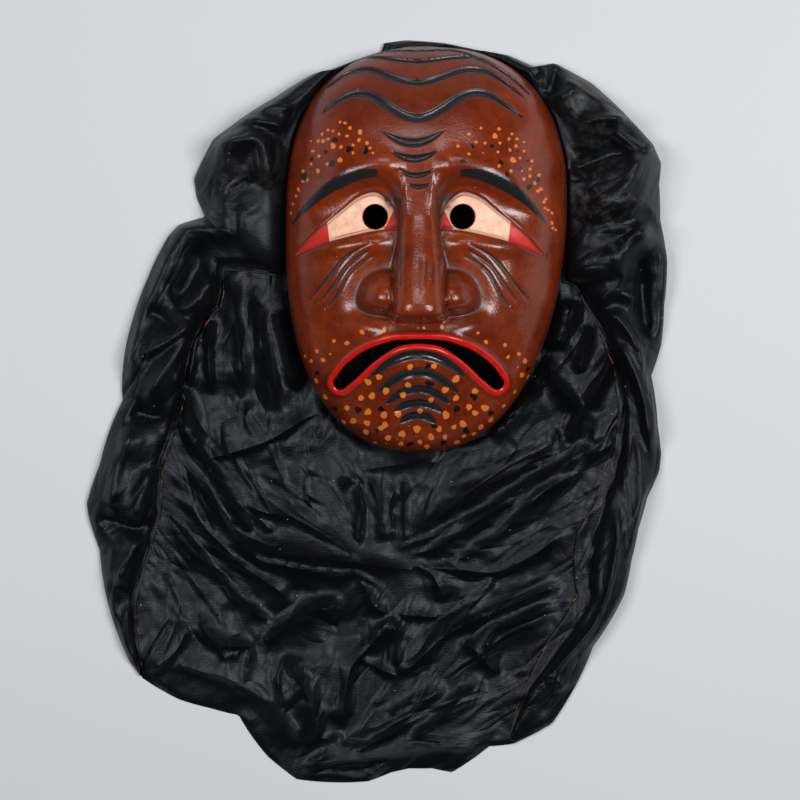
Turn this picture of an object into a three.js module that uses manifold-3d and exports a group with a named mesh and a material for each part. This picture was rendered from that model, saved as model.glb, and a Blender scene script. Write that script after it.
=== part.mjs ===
// Carved dance mask with its cloth hood, lying face up. Millimetres, +Z up, forehead towards +Y.
import * as THREE from 'three'
import { mergeVertices } from 'three/addons/utils/BufferGeometryUtils.js'
import Module from 'manifold-3d'

const wasm = await Module()
wasm.setup()
const { Manifold, Mesh } = wasm

// Place of the face: the point between the pupils, and the height of the mask's rim.
const faceX = 29.9
const faceY = 131.5
const rimZ = 4
const clothThin = 3.4

// Mask: egg outline, wall and main heights above the rim.
const halfWidth = 96.7
const midHeight = 11.3
const topReach = 108.8
const chinReach = 171.8
const domeHeight = 60
const wall = 9
const pupilHalfGap = 29.5
const pupilRadius = 8.4
const eyeDepth = 2.2
const grooveDepth = 2
const lipWidth = 4.4
const lipRise = 2.2

const clamp01 = t => Math.min(1, Math.max(0, t))
const ease = (a, b, x) => {
  const t = clamp01((x - a) / (b - a))
  return t * t * (3 - 2 * t)
}
const hill = (x, w) => Math.exp(-((x / w) ** 2))
const softMax = (a, b, k) => {
  const h = clamp01(0.5 + (0.5 * (a - b)) / k)
  return b + (a - b) * h + k * h * (1 - h)
}

// Smooth curve y(x) through a few points.
function curve(points) {
  const n = points.length
  const slope = points.map((p, i) => {
    const a = points[Math.max(i - 1, 0)]
    const b = points[Math.min(i + 1, n - 1)]
    return (b[1] - a[1]) / (b[0] - a[0])
  })
  return x => {
    const c = Math.min(Math.max(x, points[0][0]), points[n - 1][0])
    let i = 0
    while (i < n - 2 && c > points[i + 1][0]) i++
    const h = points[i + 1][0] - points[i][0]
    const t = (c - points[i][0]) / h
    const s = 1 - t
    return (1 + 2 * t) * s * s * points[i][1] + t * s * s * h * slope[i]
      + t * t * (3 - 2 * t) * points[i + 1][1] - t * t * s * h * slope[i + 1]
  }
}

const eyeTop = curve([[14, -4], [17.5, 6], [22, 12], [28.5, 16.2], [35, 15.6], [43, 11.8], [62.5, -3.5], [84, -24]])
const eyeLow = curve([[14, -8.6], [28, -9.6], [43, -12.6], [62, -17.4], [84, -25]])
const browCrease = curve([[10, 4], [15, 16], [21, 23.2], [28, 24.2], [41, 21.6], [53, 17.6], [63, 12.6], [82, -1.5], [90, -10]])
const bridgeHalf = curve([[-72, 17.6], [-60, 17.6], [-40, 16.6], [-15, 13.8], [7, 11.4], [20, 10.5], [30, 12]])
const bridgeTop = curve([[-80, 96], [-62, 95], [-40, 88], [-15, 78], [7, 70.5], [18, 67.5], [30, 65]])
const mouthLine = curve([[0, -84.6], [12, -85.4], [20, -87.6], [35, -95.5], [46, -104.5], [53.5, -112]])
const mouthHalf = curve([[0, 1.7], [12, 2.1], [20, 3.1], [35, 5.2], [46, 6], [53.5, 5]])

const eggMid = v => -0.3 + 6.6 * ease(-150, 40, v)
const eggPower = v => (v > midHeight ? 2.4 : 2.3)
const eggReach = v => (v > midHeight ? topReach : chinReach)
function eggRadius(u, v) {
  const n = eggPower(v)
  const across = Math.abs((u - eggMid(v)) / halfWidth) ** n
  const along = Math.abs((v - midHeight) / eggReach(v)) ** n
  return (across + along) ** (1 / n)
}
// Point of the plan at a share of the way to the outline.
function eggPoint(share, angle) {
  const c = Math.cos(angle)
  const s = Math.sin(angle)
  const n = s > 0 ? 2.4 : 2.3
  const reach = s > 0 ? topReach : chinReach
  const k = share / (Math.abs(c / halfWidth) ** n + Math.abs(s / reach) ** n) ** (1 / n)
  const v = midHeight + s * k
  return [c * k + eggMid(v), v]
}

// Height of the carved face above the rim.
function face(u, v) {
  const a = Math.abs(u)
  const r = Math.min(eggRadius(u, v), 1)
  const inner = ease(1, 0.62, r)
  const mid = ease(1, 0.55, r)
  let z = domeHeight * (1 - r ** 2.6) ** (1 / 2.6)
  const over = v - browCrease(a)
  const shelf = ease(-5, 6, over) * ease(88, 45, a)
  z += inner * (3 + 6.5 * shelf) * ease(112, 60, v) * ease(-40, 10, v)
  z += 3 * inner * hill(over - 6, 8) * ease(86, 60, a)
  z -= 6.5 * inner * hill(a - 24, 13) * hill(v - 10, 13) * ease(4, -4, over)
  z -= 3 * inner * hill(a - 55, 26) * hill(v - 3, 11) * ease(4, -4, over)
  z += 3.4 * inner * hill(v - eyeLow(a) + 6.5, 5.5) * ease(10, 20, a) * ease(88, 55, a)
  z += 4 * inner * hill(a - 52, 24) * hill(v + 42, 24)
  z += 11 * mid * hill(u, 62) * hill(v + 90, 26)
  z += 3.5 * hill(a - 34, 18) * hill(v + 76, 9)
  z += 13 * mid * hill(u, 40) * hill(v + 116, 30)
  return z
}

// Height with the nose: a long ridge and two round wings.
function withNose(u, v) {
  const a = Math.abs(u)
  const half = bridgeHalf(v)
  let z = face(u, v)
  let ridge = bridgeTop(v) - 3.2 * (u / half) ** 2 - 30 * Math.max(0, (a - half) / 8)
  ridge -= 110 * ease(-66, -76, v) + 2.5 * ease(-60, -67, v) + 60 * ease(22, 36, v)
  z = softMax(z, ridge, 3)
  const q = (Math.abs(a - 27) / 13.5) ** 2.3 + (Math.abs(v + 56.5) / 15.3) ** 2.3
  if (q < 1) z = softMax(z, 56 + 23 * (1 - q) ** (1 / 2.3), 2)
  return z
}

// Height of the hollow behind the face.
function hollow(u, v) {
  const r = Math.min(1, eggRadius((u - eggMid(v)) * (halfWidth / (halfWidth - wall)) + eggMid(v),
    midHeight + (v - midHeight) * (eggReach(v) / (eggReach(v) - wall))))
  let z = (domeHeight - wall - 3) * (1 - r ** 2.6) ** (1 / 2.6)
  z += 14 * hill(u, 15) * hill(v + 42, 26)
  z += 9 * hill(u, 34) * hill(v + 100, 34) * ease(1, 0.5, r)
  return z
}

function solid(points, faces) {
  const mesh = new Mesh({
    numProp: 3,
    vertProperties: new Float32Array(points.flat()),
    triVerts: new Uint32Array(faces.flat())
  })
  return new Manifold(mesh)
}

// Solid from a closed three.js shape.
function solidOf(geometry) {
  geometry.deleteAttribute('normal')
  geometry.deleteAttribute('uv')
  const merged = mergeVertices(geometry, 1e-4)
  const mesh = new Mesh({
    numProp: 3,
    vertProperties: new Float32Array(merged.attributes.position.array),
    triVerts: new Uint32Array(merged.index.array)
  })
  return new Manifold(mesh)
}

// Top of a square net of cells, its edge ring and its floor, as one closed solid.
function netSolid(across, along, place, base, middle) {
  const net = new THREE.PlaneGeometry(2, 2, across, along)
  const at = net.attributes.position
  const points = []
  for (let k = 0; k < at.count; k++) points.push(place(at.getX(k), at.getY(k)))
  const faces = []
  for (let k = 0; k < net.index.count; k += 3) {
    faces.push([net.index.getX(k), net.index.getX(k + 1), net.index.getX(k + 2)])
  }
  const id = (i, j) => j * (across + 1) + i
  const ring = []
  for (let i = 0; i < across; i++) ring.push(id(i, along))
  for (let j = along; j > 0; j--) ring.push(id(across, j))
  for (let i = across; i > 0; i--) ring.push(id(i, 0))
  for (let j = 0; j < along; j++) ring.push(id(0, j))
  closeBelow(points, faces, ring, base, middle)
  return solid(points, faces)
}

// Wall from a ring of points, anticlockwise, down to a flat floor.
function closeBelow(points, faces, ring, base, middle) {
  const first = points.length
  for (const k of ring) points.push([points[k][0], points[k][1], base])
  const centre = points.length
  points.push([middle[0], middle[1], base])
  ring.forEach((k, i) => {
    const next = (i + 1) % ring.length
    faces.push([k, first + i, ring[next]], [ring[next], first + i, first + next])
    faces.push([first + i, centre, first + next])
  })
}

// Closed solid over the egg outline with a given top, its wall shrunk inwards.
function eggSolid(across, along, floor, top, shrink) {
  const place = (s, t) => {
    const x = s * Math.sqrt(1 - (t * t) / 2)
    const y = t * Math.sqrt(1 - (s * s) / 2)
    const far = Math.min(1, Math.hypot(x, y))
    const spread = far * (1.3 - 0.3 * far * far)
    const [pu, pv] = eggPoint(spread, Math.atan2(y, x))
    const u = eggMid(pv) + (pu - eggMid(pv)) * (1 - shrink / halfWidth)
    const v = midHeight + (pv - midHeight) * (1 - shrink / eggReach(pv))
    return [u, v, far > 0.9999 ? floor.edge : Math.max(floor.edge, top(u, v))]
  }
  return netSolid(across, along, place, floor.base, [eggMid(midHeight), midHeight])
}

// Solid swept along rings of points, open (capped ends) or closed.
function sweep(rings, loop) {
  const n = rings[0].length
  const points = rings.flat()
  const faces = []
  const last = loop ? rings.length : rings.length - 1
  for (let k = 0; k < last; k++) {
    const m = (k + 1) % rings.length
    for (let i = 0; i < n; i++) {
      const j = (i + 1) % n
      faces.push([k * n + i, k * n + j, m * n + i], [k * n + j, m * n + j, m * n + i])
    }
  }
  if (!loop) {
    const end = (rings.length - 1) * n
    for (let i = 1; i < n - 1; i++) {
      faces.push([0, i + 1, i], [end, end + i, end + i + 1])
    }
  }
  const made = solid(points, faces)
  if (made.volume() > 0) return made
  return solid(points, faces.map(f => [f[0], f[2], f[1]]))
}

// Nose as its own closed form, sunk a little where it dies into the face.
function noseSolid() {
  const rows = [36, 29, 22, 12, 0, -14, -26, -35, -40, -45, -51, -57, -63, -68, -71.5, -74, -77]
  const shares = [0, 0.4, 0.8, 1, 1.25]
  const beyond = [0.18, 0.42, 0.66, 0.86, 1]
  const half = shares.length + beyond.length - 1
  const place = (s, t) => {
    const k = Math.round(s * half)
    const row = Math.round(((1 - t) / 2) * (rows.length - 1))
    const v = rows[row]
    const edge = 1.25 * bridgeHalf(v)
    const i = Math.abs(k)
    const a = i < shares.length ? shares[i] * bridgeHalf(v) : edge + beyond[i - shares.length] * (43 - edge)
    const u = Math.sign(k) * a
    const base = face(u, v)
    const top = withNose(u, v)
    return [u, v, top - 1.5 * ease(1.6, 0.2, top - base)]
  }
  return netSolid(2 * half, rows.length - 1, place, 30, [0, -20])
}

function surfacePoint(u, v) {
  return new THREE.Vector3(u, v, face(u, v))
}
function surfaceNormal(u, v) {
  const e = 1.5
  const du = surfacePoint(u + e, v).sub(surfacePoint(u - e, v))
  const dv = surfacePoint(u, v + e).sub(surfacePoint(u, v - e))
  return du.cross(dv).normalize()
}

// Gouge cut along a line on the face: shallow trough, pointed at both ends.
function gouge(line, half, depth, steps) {
  const rings = []
  for (let k = 0; k <= steps; k++) {
    const t = k / steps
    const [u, v] = line(t)
    const [ua, va] = line(Math.max(0, t - 0.02))
    const [ub, vb] = line(Math.min(1, t + 0.02))
    const normal = surfaceNormal(u, v)
    const along = surfacePoint(ub, vb).sub(surfacePoint(ua, va)).normalize()
    const side = new THREE.Vector3().crossVectors(normal, along).normalize()
    const taper = Math.max(0.08, Math.min(1, 5 * Math.min(t, 1 - t)) ** 0.7)
    const w = half * taper
    const d = depth * taper
    const at = (s, h) => surfacePoint(u, v).addScaledVector(side, s).addScaledVector(normal, h).toArray()
    rings.push([at(-w * 1.35, 3), at(-w, 0), at(0, -d), at(w, 0), at(w * 1.35, 3)])
  }
  return sweep(rings, false)
}

// Forehead waves: level, swing, half wavelength, droop from, droop, left end, right end, half width.
const waves = [
  { level: 75, swing: 9.2, half: 41, from: 60, droop: 0.004, left: -66, right: 71, width: 2.8 },
  { level: 96.5, swing: 5.2, half: 38, from: 45, droop: 0.012, left: -63, right: 72, width: 2.4 },
  { level: 109.3, swing: 1.8, half: 34, from: 35, droop: 0.0135, left: -60, right: 66, width: 1.7 }
]
// Creases between the brows and across the chin: middle, level, sag (down is positive), half length, half width.
const creases = [
  { mid: -4, level: 57.8, sag: 9.2, half: 21, width: 2.9 },
  { mid: -3.5, level: 43.2, sag: 5.4, half: 15.6, width: 2.6 },
  { mid: -2, level: 31.1, sag: 4.6, half: 11.8, width: 1.9 },
  { mid: -0.5, level: -93.3, sag: -15, half: 30, width: 2.9 },
  { mid: -0.5, level: -105.6, sag: -13.4, half: 26, width: 2.9 },
  { mid: -0.5, level: -116.7, sag: -10, half: 21, width: 2.9 },
  { mid: -0.5, level: -126.1, sag: -6, half: 16.5, width: 2.7 },
  { mid: -0.5, level: -134.5, sag: -5, half: 12.4, width: 2.6 }
]

function gouges() {
  const cuts = []
  for (const w of waves) {
    const line = t => {
      const u = w.left + (w.right - w.left) * t
      const bend = w.droop * Math.max(Math.abs(u) - w.from, 0) ** 2
      return [u, w.level - w.swing * Math.cos((Math.PI * (u + 1)) / w.half) - bend]
    }
    cuts.push(gouge(line, w.width, grooveDepth, 18))
  }
  for (const c of creases) {
    const line = t => {
      const x = 2 * t - 1
      const y = c.sag > 0 ? c.level - c.sag * (1 - x * x) : c.level + c.sag * x * x
      return [c.mid + c.half * x, y]
    }
    cuts.push(gouge(line, c.width, grooveDepth, 8))
  }
  return cuts
}

// Almond recess of one eye, side -1 or 1.
function eyePocket(side) {
  const steps = 11
  const rows = 2
  const rings = []
  for (let k = 0; k <= steps; k++) {
    const a = 14.2 + (84 - 14.2) * (k / steps) ** 0.9
    const low = eyeLow(a)
    const high = Math.max(eyeTop(a), low + 0.4)
    const depth = eyeDepth * ease(84, 74, a)
    const ring = []
    for (let j = 0; j <= rows; j++) {
      const v = low + ((high - low) * j) / rows
      ring.push([side * a, v, face(side * a, v) - depth - 0.05])
    }
    ring.push([side * a, high + 0.8, 110], [side * a, low - 0.8, 110])
    rings.push(ring)
  }
  return sweep(rings, false)
}

// Outline of the mouth slot, grown by a margin.
function mouthRing(margin) {
  const end = 53.5
  const steps = 11
  const across = u => {
    const near = Math.abs(u)
    const slope = Math.sign(u) * (mouthLine(near + 0.5) - mouthLine(Math.max(0, near - 0.5)))
    const len = Math.hypot(1, slope)
    return { u, v: mouthLine(near), far: mouthHalf(near) + margin, nu: -slope / len, nv: 1 / len }
  }
  const upper = []
  const lower = []
  for (let k = -steps; k <= steps; k++) {
    const c = across((end * k) / steps)
    upper.push([c.u + c.far * c.nu, c.v + c.far * c.nv])
    lower.unshift([c.u - c.far * c.nu, c.v - c.far * c.nv])
  }
  const cap = side => {
    const c = across(side * end)
    return [0.25, 0.5, 0.75].map(turn => {
      const n = side * Math.cos(Math.PI * turn) * c.far
      const t = side * Math.sin(Math.PI * turn) * c.far
      return [c.u + n * c.nu + t * c.nv, c.v + n * c.nv - t * c.nu]
    })
  }
  return [...upper, ...cap(1), ...lower, ...cap(-1)]
}

function lips() {
  const inner = mouthRing(-0.3)
  const crest = mouthRing(lipWidth * 0.5)
  const outer = mouthRing(lipWidth)
  const at = (p, rise) => [p[0], p[1], face(p[0], p[1]) + rise]
  const rings = inner.map((p, i) => [
    at(p, -7), at(outer[i], -5), at(crest[i], lipRise), at(p, lipRise * 0.7)
  ])
  return sweep(rings, true)
}

// Upright prism on an outline, from one height to another.
function prism(outline, low, high) {
  const shape = new THREE.Shape(outline.map(p => new THREE.Vector2(p[0], p[1])))
  const made = new THREE.ExtrudeGeometry(shape, { depth: high - low, bevelEnabled: false, curveSegments: 1 })
  return solidOf(made.translate(0, 0, low))
}

function maskSolid() {
  let body = eggSolid(26, 36, { edge: 3, base: 0 }, face, 0)
  for (const side of [-1, 1]) body = body.subtract(eyePocket(side))
  body = body.add(noseSolid()).add(lips())
  for (const cut of gouges()) body = body.subtract(cut)
  body = body.subtract(eggSolid(12, 16, { edge: 1, base: -6 }, hollow, wall))
  body = body.subtract(prism(mouthRing(0), -10, 140))
  for (const side of [-1, 1]) {
    const hole = new THREE.CylinderGeometry(pupilRadius, pupilRadius, 150, 20)
    body = body.subtract(solidOf(hole.rotateX(Math.PI / 2).translate(side * pupilHalfGap, 0, 65)))
  }
  return body
}

// Hood: reach of its outline from the middle of the plan, every 10 degrees anticlockwise from +X.
const hoodReach = [
  194.7, 197.8, 213.7, 233.6, 259.1, 269.2, 272.4, 263.5, 260.6, 248.6, 238.2, 228.9,
  221.1, 194.6, 188.8, 183.6, 181.2, 179.3, 181.1, 197.1, 213.5, 221.1, 237.3, 247.7,
  237.5, 244.2, 261.9, 256.3, 250.6, 250.6, 247.4, 227.7, 216.2, 205.5, 198.3, 201
]
const hemRise = 2.6

// Folds of the cloth: from, to, half width, height.
const folds = [
  { from: [-150, 150], to: [-60, 232], width: 22, rise: 15 },
  { from: [-118, 150], to: [-84, 200], width: 12, rise: 10 },
  { from: [-136, 128], to: [-80, 110], width: 13, rise: 9 },
  { from: [196, 170], to: [118, 232], width: 22, rise: 16 },
  { from: [150, 120], to: [196, 150], width: 14, rise: 10 },
  { from: [196, 112], to: [176, 20], width: 13, rise: 13 },
  { from: [150, 78], to: [168, -20], width: 10, rise: 12 },
  { from: [-146, 106], to: [-186, 10], width: 16, rise: 7 },
  { from: [-186, 10], to: [-206, -70], width: 13, rise: 7 },
  { from: [-200, -70], to: [-172, -190], width: 12, rise: 7 },
  { from: [176, -30], to: [150, -110], width: 15, rise: 8 },
  { from: [150, -110], to: [98, -224], width: 14, rise: 8 },
  { from: [-150, 90], to: [-120, -20], width: 9, rise: 5 },
  { from: [-164, -30], to: [14, -108], width: 8, rise: 6 },
  { from: [14, -108], to: [130, -70], width: 8, rise: 6 },
  { from: [14, -108], to: [96, -160], width: 9, rise: 5 },
  { from: [-150, -130], to: [20, -150], width: 9, rise: 5 },
  { from: [-40, -120], to: [-70, -230], width: 10, rise: 5 },
  { from: [20, -150], to: [40, -236], width: 10, rise: 6 },
  { from: [-130, -190], to: [-20, -200], width: 9, rise: 5 }
]

function reachAt(angle) {
  const n = hoodReach.length
  const x = ((((angle / (2 * Math.PI)) % 1) + 1) % 1) * n
  const i = Math.floor(x)
  const t = x - i
  const at = k => hoodReach[(k + n) % n]
  const before = (at(i + 1) - at(i - 1)) / 2
  const after = (at(i + 2) - at(i)) / 2
  const s = 1 - t
  return (1 + 2 * t) * s * s * at(i) + t * s * s * before
    + t * t * (3 - 2 * t) * at(i + 1) - t * t * s * after
}

function segmentGap(x, y, from, to) {
  const dx = to[0] - from[0]
  const dy = to[1] - from[1]
  const t = clamp01(((x - from[0]) * dx + (y - from[1]) * dy) / (dx * dx + dy * dy))
  return Math.hypot(x - from[0] - t * dx, y - from[1] - t * dy)
}

function hoodHeight(x, y, share) {
  let z = clothThin + 1
  const r = eggRadius(x - faceX, y - faceY)
  z += 9 * ease(1.75, 1.05, r) * ease(60, 110, y)
  for (const f of folds) z += f.rise * hill(segmentGap(x, y, f.from, f.to), f.width)
  return hemRise + (z - hemRise) * ease(1, 0.9, share)
}

function hoodSolid() {
  const spokes = 84
  const rings = 12
  const points = [[0, 0, hoodHeight(0, 0, 0)]]
  const faces = []
  for (let k = 1; k <= rings; k++) {
    const share = (k / rings) ** 0.85
    for (let i = 0; i < spokes; i++) {
      const angle = (2 * Math.PI * (i + (k % 2) / 2)) / spokes
      const far = share * (reachAt(angle) + 1.6 * Math.sin(angle * 11) * share)
      const x = far * Math.cos(angle)
      const y = far * Math.sin(angle)
      points.push([x, y, hoodHeight(x, y, share)])
    }
  }
  const id = (k, i) => 1 + (k - 1) * spokes + (i % spokes)
  for (let i = 0; i < spokes; i++) faces.push([0, id(1, i), id(1, i + 1)])
  for (let k = 1; k < rings; k++) {
    for (let i = 0; i < spokes; i++) {
      const odd = k % 2
      if (odd) faces.push([id(k, i), id(k + 1, i), id(k + 1, i + 1)], [id(k, i), id(k + 1, i + 1), id(k, i + 1)])
      else faces.push([id(k, i), id(k + 1, i), id(k, i + 1)], [id(k, i + 1), id(k + 1, i), id(k + 1, i + 1)])
    }
  }
  const first = points.length
  for (let i = 0; i < spokes; i++) {
    const p = points[id(rings, i)]
    points.push([p[0], p[1], 0])
  }
  const centre = points.length
  points.push([0, 0, 0])
  for (let i = 0; i < spokes; i++) {
    const j = (i + 1) % spokes
    faces.push([id(rings, i), first + i, id(rings, j)], [id(rings, j), first + i, first + j])
    faces.push([first + i, centre, first + j])
  }
  const seat = []
  for (let i = 0; i < 64; i++) {
    const [u, v] = eggPoint(1, (2 * Math.PI * i) / 64)
    const grow = 1 + 1.2 / Math.hypot(u, v)
    seat.push([faceX + u * grow, faceY + v * grow])
  }
  return solid(points, faces).subtract(prism(seat, clothThin, 120))
}

function named(name, made, look) {
  const mesh = made.getMesh()
  const geometry = new THREE.BufferGeometry()
  geometry.setAttribute('position', new THREE.BufferAttribute(new Float32Array(mesh.vertProperties), 3))
  geometry.setIndex(new THREE.BufferAttribute(new Uint32Array(mesh.triVerts), 1))
  const part = new THREE.Mesh(geometry, new THREE.MeshStandardMaterial({ ...look, metalness: 0, flatShading: true }))
  part.name = name
  return part
}

const mask = named('mask', maskSolid(), { color: '#7a2f16', roughness: 0.35 })
const hood = named('hood', hoodSolid(), { color: '#1b1b1f', roughness: 0.8 })
mask.position.set(faceX, faceY, rimZ)

// The plan's middle lies over the origin.
hood.geometry.computeBoundingBox()
const middle = hood.geometry.boundingBox.getCenter(new THREE.Vector3())
for (const part of [mask, hood]) {
  part.position.x -= middle.x
  part.position.y -= middle.y
}

const group = new THREE.Group()
group.name = 'devil_dance_mask'
group.add(mask, hood)
export default group
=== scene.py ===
import math
import bmesh
import bpy
import numpy as np
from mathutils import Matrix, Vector
from mathutils.bvhtree import BVHTree
from mathutils.kdtree import KDTree
from mathutils.geometry import delaunay_2d_cdt


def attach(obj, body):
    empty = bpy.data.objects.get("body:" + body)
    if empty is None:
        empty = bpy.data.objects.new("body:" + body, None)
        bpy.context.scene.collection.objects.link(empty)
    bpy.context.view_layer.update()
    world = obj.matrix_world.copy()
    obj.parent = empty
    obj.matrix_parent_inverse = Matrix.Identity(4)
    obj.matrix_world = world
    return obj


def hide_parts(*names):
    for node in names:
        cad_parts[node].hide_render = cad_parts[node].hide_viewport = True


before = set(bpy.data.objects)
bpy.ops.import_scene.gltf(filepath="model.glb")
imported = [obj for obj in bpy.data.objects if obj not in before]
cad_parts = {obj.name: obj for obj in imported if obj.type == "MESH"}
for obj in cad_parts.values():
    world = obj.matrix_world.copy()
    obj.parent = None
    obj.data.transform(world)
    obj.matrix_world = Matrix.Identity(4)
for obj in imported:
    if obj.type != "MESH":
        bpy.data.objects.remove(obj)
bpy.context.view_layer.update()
print("frame loaded")

mm = 0.001

# camera straight above the floor, as the photo was taken; lengths in metres
view = {"x": 0.01645, "y": 0.00955, "height": 1.70, "lens": 109.3, "sensor": 36, "pixels": 800}

camData = bpy.data.cameras.new("camera")
camData.lens = view["lens"]
camData.sensor_width = view["sensor"]
camData.clip_start = 0.05
camData.clip_end = 20
camera = bpy.data.objects.new("camera", camData)
camera.location = (view["x"], view["y"], view["height"])
bpy.context.collection.objects.link(camera)
bpy.context.scene.camera = camera
bpy.context.scene.view_settings.view_transform = "Standard"


# small shaping helpers, all on numpy arrays

def clamp01(t):
    return np.clip(t, 0, 1)


def ease(a, b, x):
    t = clamp01((x - a) / (b - a))
    return t * t * (3 - 2 * t)


def hill(x, w):
    return np.exp(-(x / w) ** 2)


def softMax(a, b, k):
    h = clamp01(0.5 + 0.5 * (a - b) / k)
    return b + (a - b) * h + k * h * (1 - h)


def curveAt(x, points):  # smooth line through a few points
    xs = np.array([p[0] for p in points], float)
    ys = np.array([p[1] for p in points], float)
    n = len(xs)
    after, before = np.minimum(np.arange(n) + 1, n - 1), np.maximum(np.arange(n) - 1, 0)
    slope = (ys[after] - ys[before]) / (xs[after] - xs[before])
    xc = np.clip(x, xs[0], xs[-1])
    i = np.clip(np.searchsorted(xs, xc) - 1, 0, n - 2)
    h = xs[i + 1] - xs[i]
    t = (xc - xs[i]) / h
    s = 1 - t
    return ((1 + 2 * t) * s * s * ys[i] + t * s * s * h * slope[i]
            + t * t * (3 - 2 * t) * ys[i + 1] - t * t * s * h * slope[i + 1])


def offLine(lineAt, x, v):  # how far v lies above a line, square to it
    slope = lineAt(x + .5) - lineAt(x - .5)
    return (v - lineAt(x)) / np.sqrt(1 + slope ** 2)


# pieces: points in mm

def newPiece(name, points, faces):
    mesh = bpy.data.meshes.new(name)
    mesh.from_pydata(np.array(points) * mm, [], faces)
    mesh.update()
    made = bpy.data.objects.new(name, mesh)
    bpy.context.collection.objects.link(made)
    return made


def bakeStep(made, kind, settings):  # one modifier, worked into the mesh
    step = made.modifiers.new("step", kind)
    for key, value in settings.items():
        setattr(step, key, value)
    bpy.context.view_layer.update()
    result = bpy.data.meshes.new_from_object(made.evaluated_get(bpy.context.evaluated_depsgraph_get()))
    made.modifiers.clear()
    made.data = result


def readAll(source, key, width=1, kind=np.float32):
    values = np.zeros(len(source) * width, kind)
    source.foreach_get(key, values)
    return values


def pointsOf(mesh):
    return readAll(mesh.vertices, "co", 3).reshape(-1, 3).astype(float) / mm


def setFloat(mesh, name, values):
    layer = mesh.attributes.new(name, "FLOAT", "POINT")
    layer.data.foreach_set("value", np.asarray(values, np.float32))


def finishShape(made, angle):  # smooth, with an edge wherever faces meet at more than this many degrees
    for poly in made.data.polygons:
        poly.use_smooth = True
    made.data.set_sharp_from_angle(angle=math.radians(angle))
    print(made.name, "triangles", sum(len(p.vertices) - 2 for p in made.data.polygons))


# materials: colours as sRGB hex, patterns by their size in mm, one function adds any node

def hexColour(text, alpha=1.0):
    parts = [int(text[i:i + 2], 16) / 255 for i in (1, 3, 5)]
    return tuple(c / 12.92 if c <= 0.04045 else ((c + 0.055) / 1.055) ** 2.4 for c in parts) + (alpha,)


# a node in links stands for its first output
def addNode(tree, kind, settings=None, inputs=None, links=None):
    node = tree.nodes.new("ShaderNode" + kind)
    for key, value in (settings or {}).items():
        setattr(node, key, value)
    for key, value in (inputs or {}).items():
        node.inputs[key].default_value = value
    for key, source in (links or {}).items():
        tree.links.new(getattr(source, "outputs", [source])[0], node.inputs[key])
    return node


def newMaterial(name):
    made = bpy.data.materials.new(name)
    made.use_nodes = True
    made.node_tree.nodes.clear()
    return made, made.node_tree


def perMetre(size):  # pattern scale from its size in mm
    return 1 / (size * mm)


def layered(tree, colour, layers):  # each paint covers what is below it by its own share
    for share, text in layers:
        paint = addNode(tree, "Mix", {"data_type": "RGBA"}, {7: hexColour(text)}, {0: share, 6: colour})
        colour = paint.outputs[2]
    return colour


def dustSpecks(tree, where, apart, size, kept):  # specks this many mm apart, of which only some are kept
    cells = addNode(tree, "TexVoronoi", inputs={"Scale": perMetre(apart)}, links={"Vector": where})
    speck = addNode(tree, "MapRange", inputs={1: size, 2: size + .02, 3: 1, 4: 0}, links={0: cells})
    some = addNode(tree, "MapRange", inputs={1: kept, 2: kept + .02}, links={0: cells.outputs["Color"]})
    return addNode(tree, "Math", {"operation": "MULTIPLY"}, links={0: speck, 1: some})


# the carved mask: sizes in mm, u to the right and v up from the point between the pupils

maskForm = {
    "place": (29.185, 133.359, 4.0),  # of that point, at the rim's height
    "halfWidth": 98.0,
    "midHeight": 11.3,
    "topReach": 110.3,
    "topPower": 2.4,  # 2 would be an ellipse
    "chinReach": 171.8,
    "chinPower": 2.3,
    "dome": 60.0,
    "wall": 9.0,
    "rim": 2.5,  # height of its outer edge
    "hollowCells": (44, 62),  # of the coarser net inside
    "pupilGap": 29.5,
    "pupilRadius": 8.4,
    "eyeDepth": 2.0,
    "grooveDepth": 1.9,
    "lipRise": 2.4,
    "across": 248,  # cells of the net
    "along": 356,
    "crease": 70,  # degrees
    "wood": ("#5e1c06", "#8a3410"),
    "eyeWhite": "#f4bea0",
    "redPaint": "#c8180f",
    "lidLine": "#9c4a1c",
    # dark brown for grime and for painted shade in the recesses
    "grimeAndShade": "#1d0d07",
    "blackPaint": "#1d1d20",
    "orangeDots": "#d9742c",
    "blackDots": "#101013",
    "bareWood": "#3a2418",
    "speckTint": "#b79a80",
    "patch": 38.46,  # size of the patterns: brushed patches, dirt, specks and the skin of the lacquer
    "dirt": 6.25,
    "specks": 7.69,
    "skin": 1.613,
}

eyeTop = [(12, -9), (15, -1), (17.5, 6), (22, 12), (28.5, 16.2), (35, 15.6), (43, 11.8), (51, 5.6),
          (62.5, -3.5), (73, -12.5), (84.5, -25)]
eyeLow = [(12, -9), (15, -8.6), (28, -9.6), (43, -12.6), (62, -17.4), (84.5, -25)]
browLine = [(27.8, 28.4), (40, 27.2), (52, 23.6), (63, 17.9), (73.5, 10.3), (81.8, 2.5), (88, -5)]
browHalf = [(27.8, 2.2), (40, 3.6), (55, 4.6), (70, 4), (81, 2.4), (88, 0)]
browCrease = [(9, -6), (12, 8), (15.5, 19), (20, 23.6), (28, 25), (41, 22.2), (53, 17.8), (63, 12.6),
              (74, 6), (82, -1.5), (90, -10)]
bridgeFoot = [(-72, 18.6), (-60, 18.4), (-40, 17.4), (-15, 14.6), (7, 12.4), (20, 12), (34, 15)]
bridgeTop = [(-80, 94), (-66, 94.4), (-58, 92.6), (-48, 89.6), (-36, 85), (-15, 76.6), (7, 69.4), (18, 66),
             (34, 61)]
mouthSide = [(0, -84.6), (12, -85.4), (20, -87.6), (35, -95.5), (46, -104.5), (53.5, -112)]
mouthLine = [(-x, y) for x, y in mouthSide[:0:-1]] + mouthSide
mouthHalf = [(0, 1.7), (12, 2.1), (20, 3.1), (35, 5.2), (46, 6), (53.5, 5)]

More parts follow.
